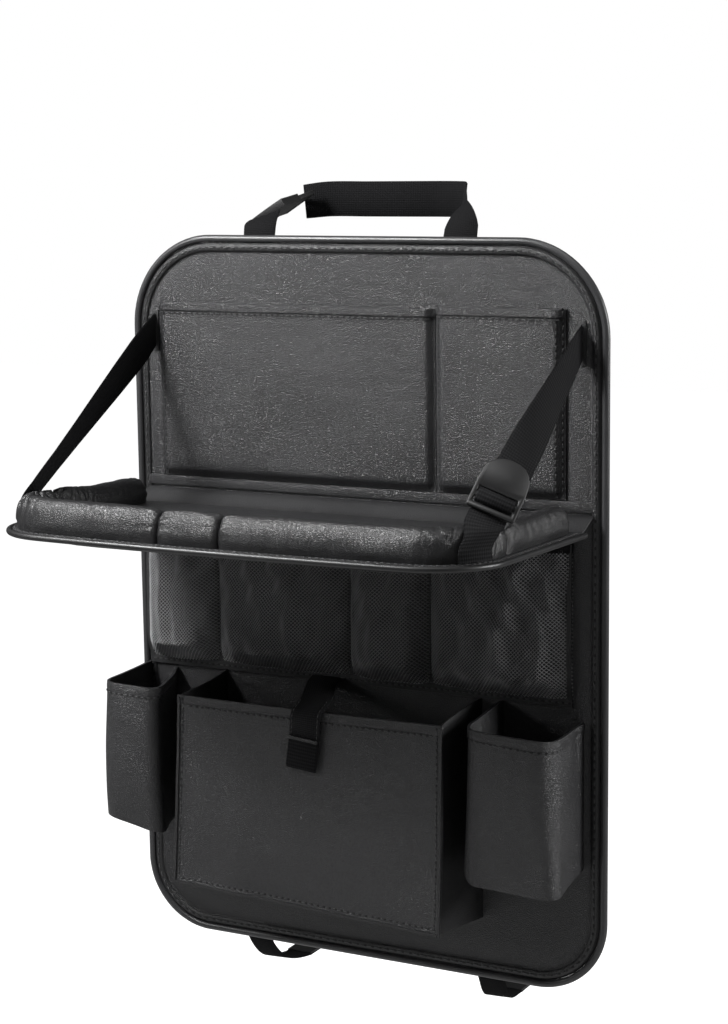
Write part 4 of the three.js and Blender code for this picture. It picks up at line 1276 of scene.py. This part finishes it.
def rollOut(s):
    # the way out of the roll at s
    ahead = rollSpot(s + 0.0005)[0] - rollSpot(s - 0.0005)[0]
    ahead /= np.linalg.norm(ahead)
    return np.array((-ahead[1], ahead[0]))


def rollSize(s, start, end, isRim):
    # width and height, less at the seams and along the sides
    o = rollSet
    gap = min(s - start, end - s)
    shut = 1 - o["pinch"] * math.exp(-gap / o["pinchOver"]) - o["slack"] * math.exp(-gap / o["slackOver"])
    lean = 1 - (abs(s) - min(abs(start), abs(end))) / abs(end - start)
    full = rampOf((lean - o["rimFrom"]) / (1 - o["rimFrom"])) if isRim else 1.0
    wide = (o["sideWidth"] + (o["width"] - o["sideWidth"]) * full) * shut
    return wide, (o["sideHeight"] + (o["height"] - o["sideHeight"]) * full) * shut


def rollBend(s, turn):
    # how deep the creases are: deepest in the corner, fading along the side
    o = rollSet
    if turn < math.pi / 2:
        return math.sin(min(turn * o["creaseTurn"], math.pi / 2))
    return max(1 - (abs(s) - o["sideFrom"]) / o["sideOver"], 0) * o["sideCrease"]


def rollRing(s, turn, wide, tall, near, seed):
    # cross section of the sleeve at s, outwards and upwards
    o = rollSet

    def bumps(kind, a):
        along, around, shift = o[kind]
        return noise.noise(Vector((s * along, a * around, seed + shift)))

    bend = rollBend(s, turn) * (1 if s < 0 else o["calm"])
    middle = np.array((0, tall * 0.35))
    ring = []
    for k in range(o["arc"] + 1):
        a = math.pi * k / o["arc"]
        c, h = math.cos(a), max(math.sin(a), 0)
        up = h ** o["top"] * tall
        foot = rampOf(up / o["foot"])
        out = math.copysign(abs(c) ** o["sides"], c) * wide / 2 * (0.9 + 0.1 * foot)
        fold = min(abs(bumps("creaseNoise", a)) / o["creaseWidth"], 1)
        push = o["dent"] * bumps("dentNoise", a) + o["gather"] * near * bumps("gatherNoise", a)
        push -= o["crease"] * bend * (0.35 + 0.65 * max(-c, 0) + 0.5 * h) * (1 - fold)
        push += o["fine"] * bumps("fineNoise", a)
        flat = np.array((out, up)) - middle
        flat = middle + flat * (1 + push * foot / max(np.linalg.norm(flat), 1e-4))
        ring.append((flat[0], o["lift"] + max(flat[1], 0)))
    inner, outer = ring[-1][0], ring[0][0]
    ring += [(inner + (outer - inner) * k / o["base"], o["lift"]) for k in range(1, o["base"])]
    return ring


def paddedPiece(name):
    # leather sleeve over foam, gathered at its seams and creased in the tray's corner
    o = rollSet
    node, seed, start, end = rollParts[name]
    count = int(abs(end - start) / o["step"])
    size = o["arc"] + o["base"]
    points = []
    for i in range(count + 1):
        s = start + (end - start) * i / count
        spot, turn = rollSpot(s)
        wide, tall = rollSize(s, start, end, name.startswith("rim"))
        near = math.exp(-min(s - start, end - s) / o["gatherOver"])
        out = rollOut(s)
        for px, pz in rollRing(s, turn, wide, tall, near, seed):
            points.append(trayPoint(*(spot + out * px), pz))
    faces = ringFaces(count + 1, size)
    for i in (0, count):
        hub = len(points)
        points.append(sum(points[i * size : (i + 1) * size], Vector()) / size)
        faces += [(hub, i * size + k, i * size + (k + 1) % size) for k in range(size)]
    piece = newMesh(name, points, faces)
    smoothShade(piece, 70)
    finishPiece(piece, "leatherSmooth", "leather", "tray", node, padFill=0.8)


def footSeam(board):
    # the seam that holds the sleeve's outer foot down
    s = rollSet
    foot = []
    for t in np.linspace(-s["sewnTo"], s["sewnTo"], 400):
        foot.append(trayPoint(*(rollSpot(t)[0] + rollOut(t) * s["sewn"]), 0.001))
    sewLines("footStitches", [(foot, (0, 0, 1))], [board], "tray", s["pitch"], s["stitch"])


for name in rollParts:
    paddedPiece(name)
board = softCopy("tray_board", "trayBoard", 0, 0.0004)
footSeam(finishPiece(board, "leather", "leather", "tray", "tray_board"))
plainCopies("pipingDark", "binding", "tray", 2, 0, {"trayPiping": "tray_piping"})
plainCopies("leatherDark", "leather", "tray", 1, 0.0003, {"trayUnderPocket": "tray_under_pocket"})
plainCopies("leatherDark", "leather", "panel", 2, 0.0003, {"hingeFlap": "tray_hinge_flap"})
plainCopies("leather", "leather", "panel", 0, 0.0004, {"seamStrip": "hinge_seam_strip"})
print("tray made")


# floor, light and background; each lamp: place, size and power
studioSet = {
    "floorZ": -0.62, "floorSize": 14, "floorGrey": 0.45, "floorRough": 0.9, "floorGlow": 0.965,
    "worldLight": 0.13, "aim": (0, -0.1, 0),
    "lamps": {
        "keyLamp": ((-1.6, -1.8, 2.1), 0.9, 33),
        "topLamp": ((0.3, -0.8, 2.4), 1.1, 15),
        "sheenLamp": ((-1.9, -1.8, 0.7), 0.6, 9),
        "cornerLamp": ((-0.5, -0.6, 0.82), 0.3, 18),
        "sideLamp": ((1.7, 0.45, 0.5), 0.7, 29),
    },
}


def seenAs(tree, lit, seen, end):
    # the camera sees one shader, and the light that reaches the part comes from the other
    rays = addNode(tree, "ShaderNodeLightPath", {})
    choice = {"Fac": rays.outputs["Is Camera Ray"], 1: lit.outputs[0], 2: seen.outputs[0]}
    blend = addNode(tree, "ShaderNodeMixShader", choice)
    put(tree, tree.nodes[end].inputs["Surface"], blend.outputs[0])


def makeFloor():
    s = studioSet
    bpy.ops.mesh.primitive_plane_add(size=s["floorSize"], location=(0, 0, s["floorZ"]))
    floor = bpy.context.object
    floor.name = "floor"
    m = bpy.data.materials.new("floorPaint")
    m.use_nodes = True
    t = m.node_tree
    paint = t.nodes["Principled BSDF"]
    put(t, paint.inputs["Base Color"], (*(s["floorGrey"],) * 3, 1))
    put(t, paint.inputs["Roughness"], s["floorRough"])
    glow = addNode(t, "ShaderNodeEmission", {"Strength": s["floorGlow"]})
    both = addNode(t, "ShaderNodeAddShader", {0: paint.outputs[0], 1: glow.outputs[0]})
    seenAs(t, paint, both, "Material Output")
    floor.data.materials.append(m)


def makeWorld():
    world = bpy.data.worlds.new("studio")
    scene.world = world
    world.use_nodes = True
    t = world.node_tree
    back = t.nodes["Background"]
    put(t, back.inputs["Strength"], studioSet["worldLight"])
    put(t, back.inputs["Color"], (1, 1, 1, 1))
    white = addNode(t, "ShaderNodeBackground", {"Color": (1, 1, 1, 1)})
    seenAs(t, back, white, "World Output")


def addLamps():
    for name, (place, size, power) in studioSet["lamps"].items():
        lamp = bpy.data.lights.new(name, "AREA")
        lamp.size = size
        lamp.energy = power
        aim = (Vector(studioSet["aim"]) - Vector(place)).normalized()
        turned = aim.to_track_quat("-Z", "Y").to_matrix().to_4x4()
        addObject(name, lamp).matrix_world = Matrix.Translation(Vector(place)) @ turned


makeFloor()
makeWorld()
addLamps()
scene.view_settings.view_transform = "Standard"
bpy.ops.object.select_all(action="DESELECT")
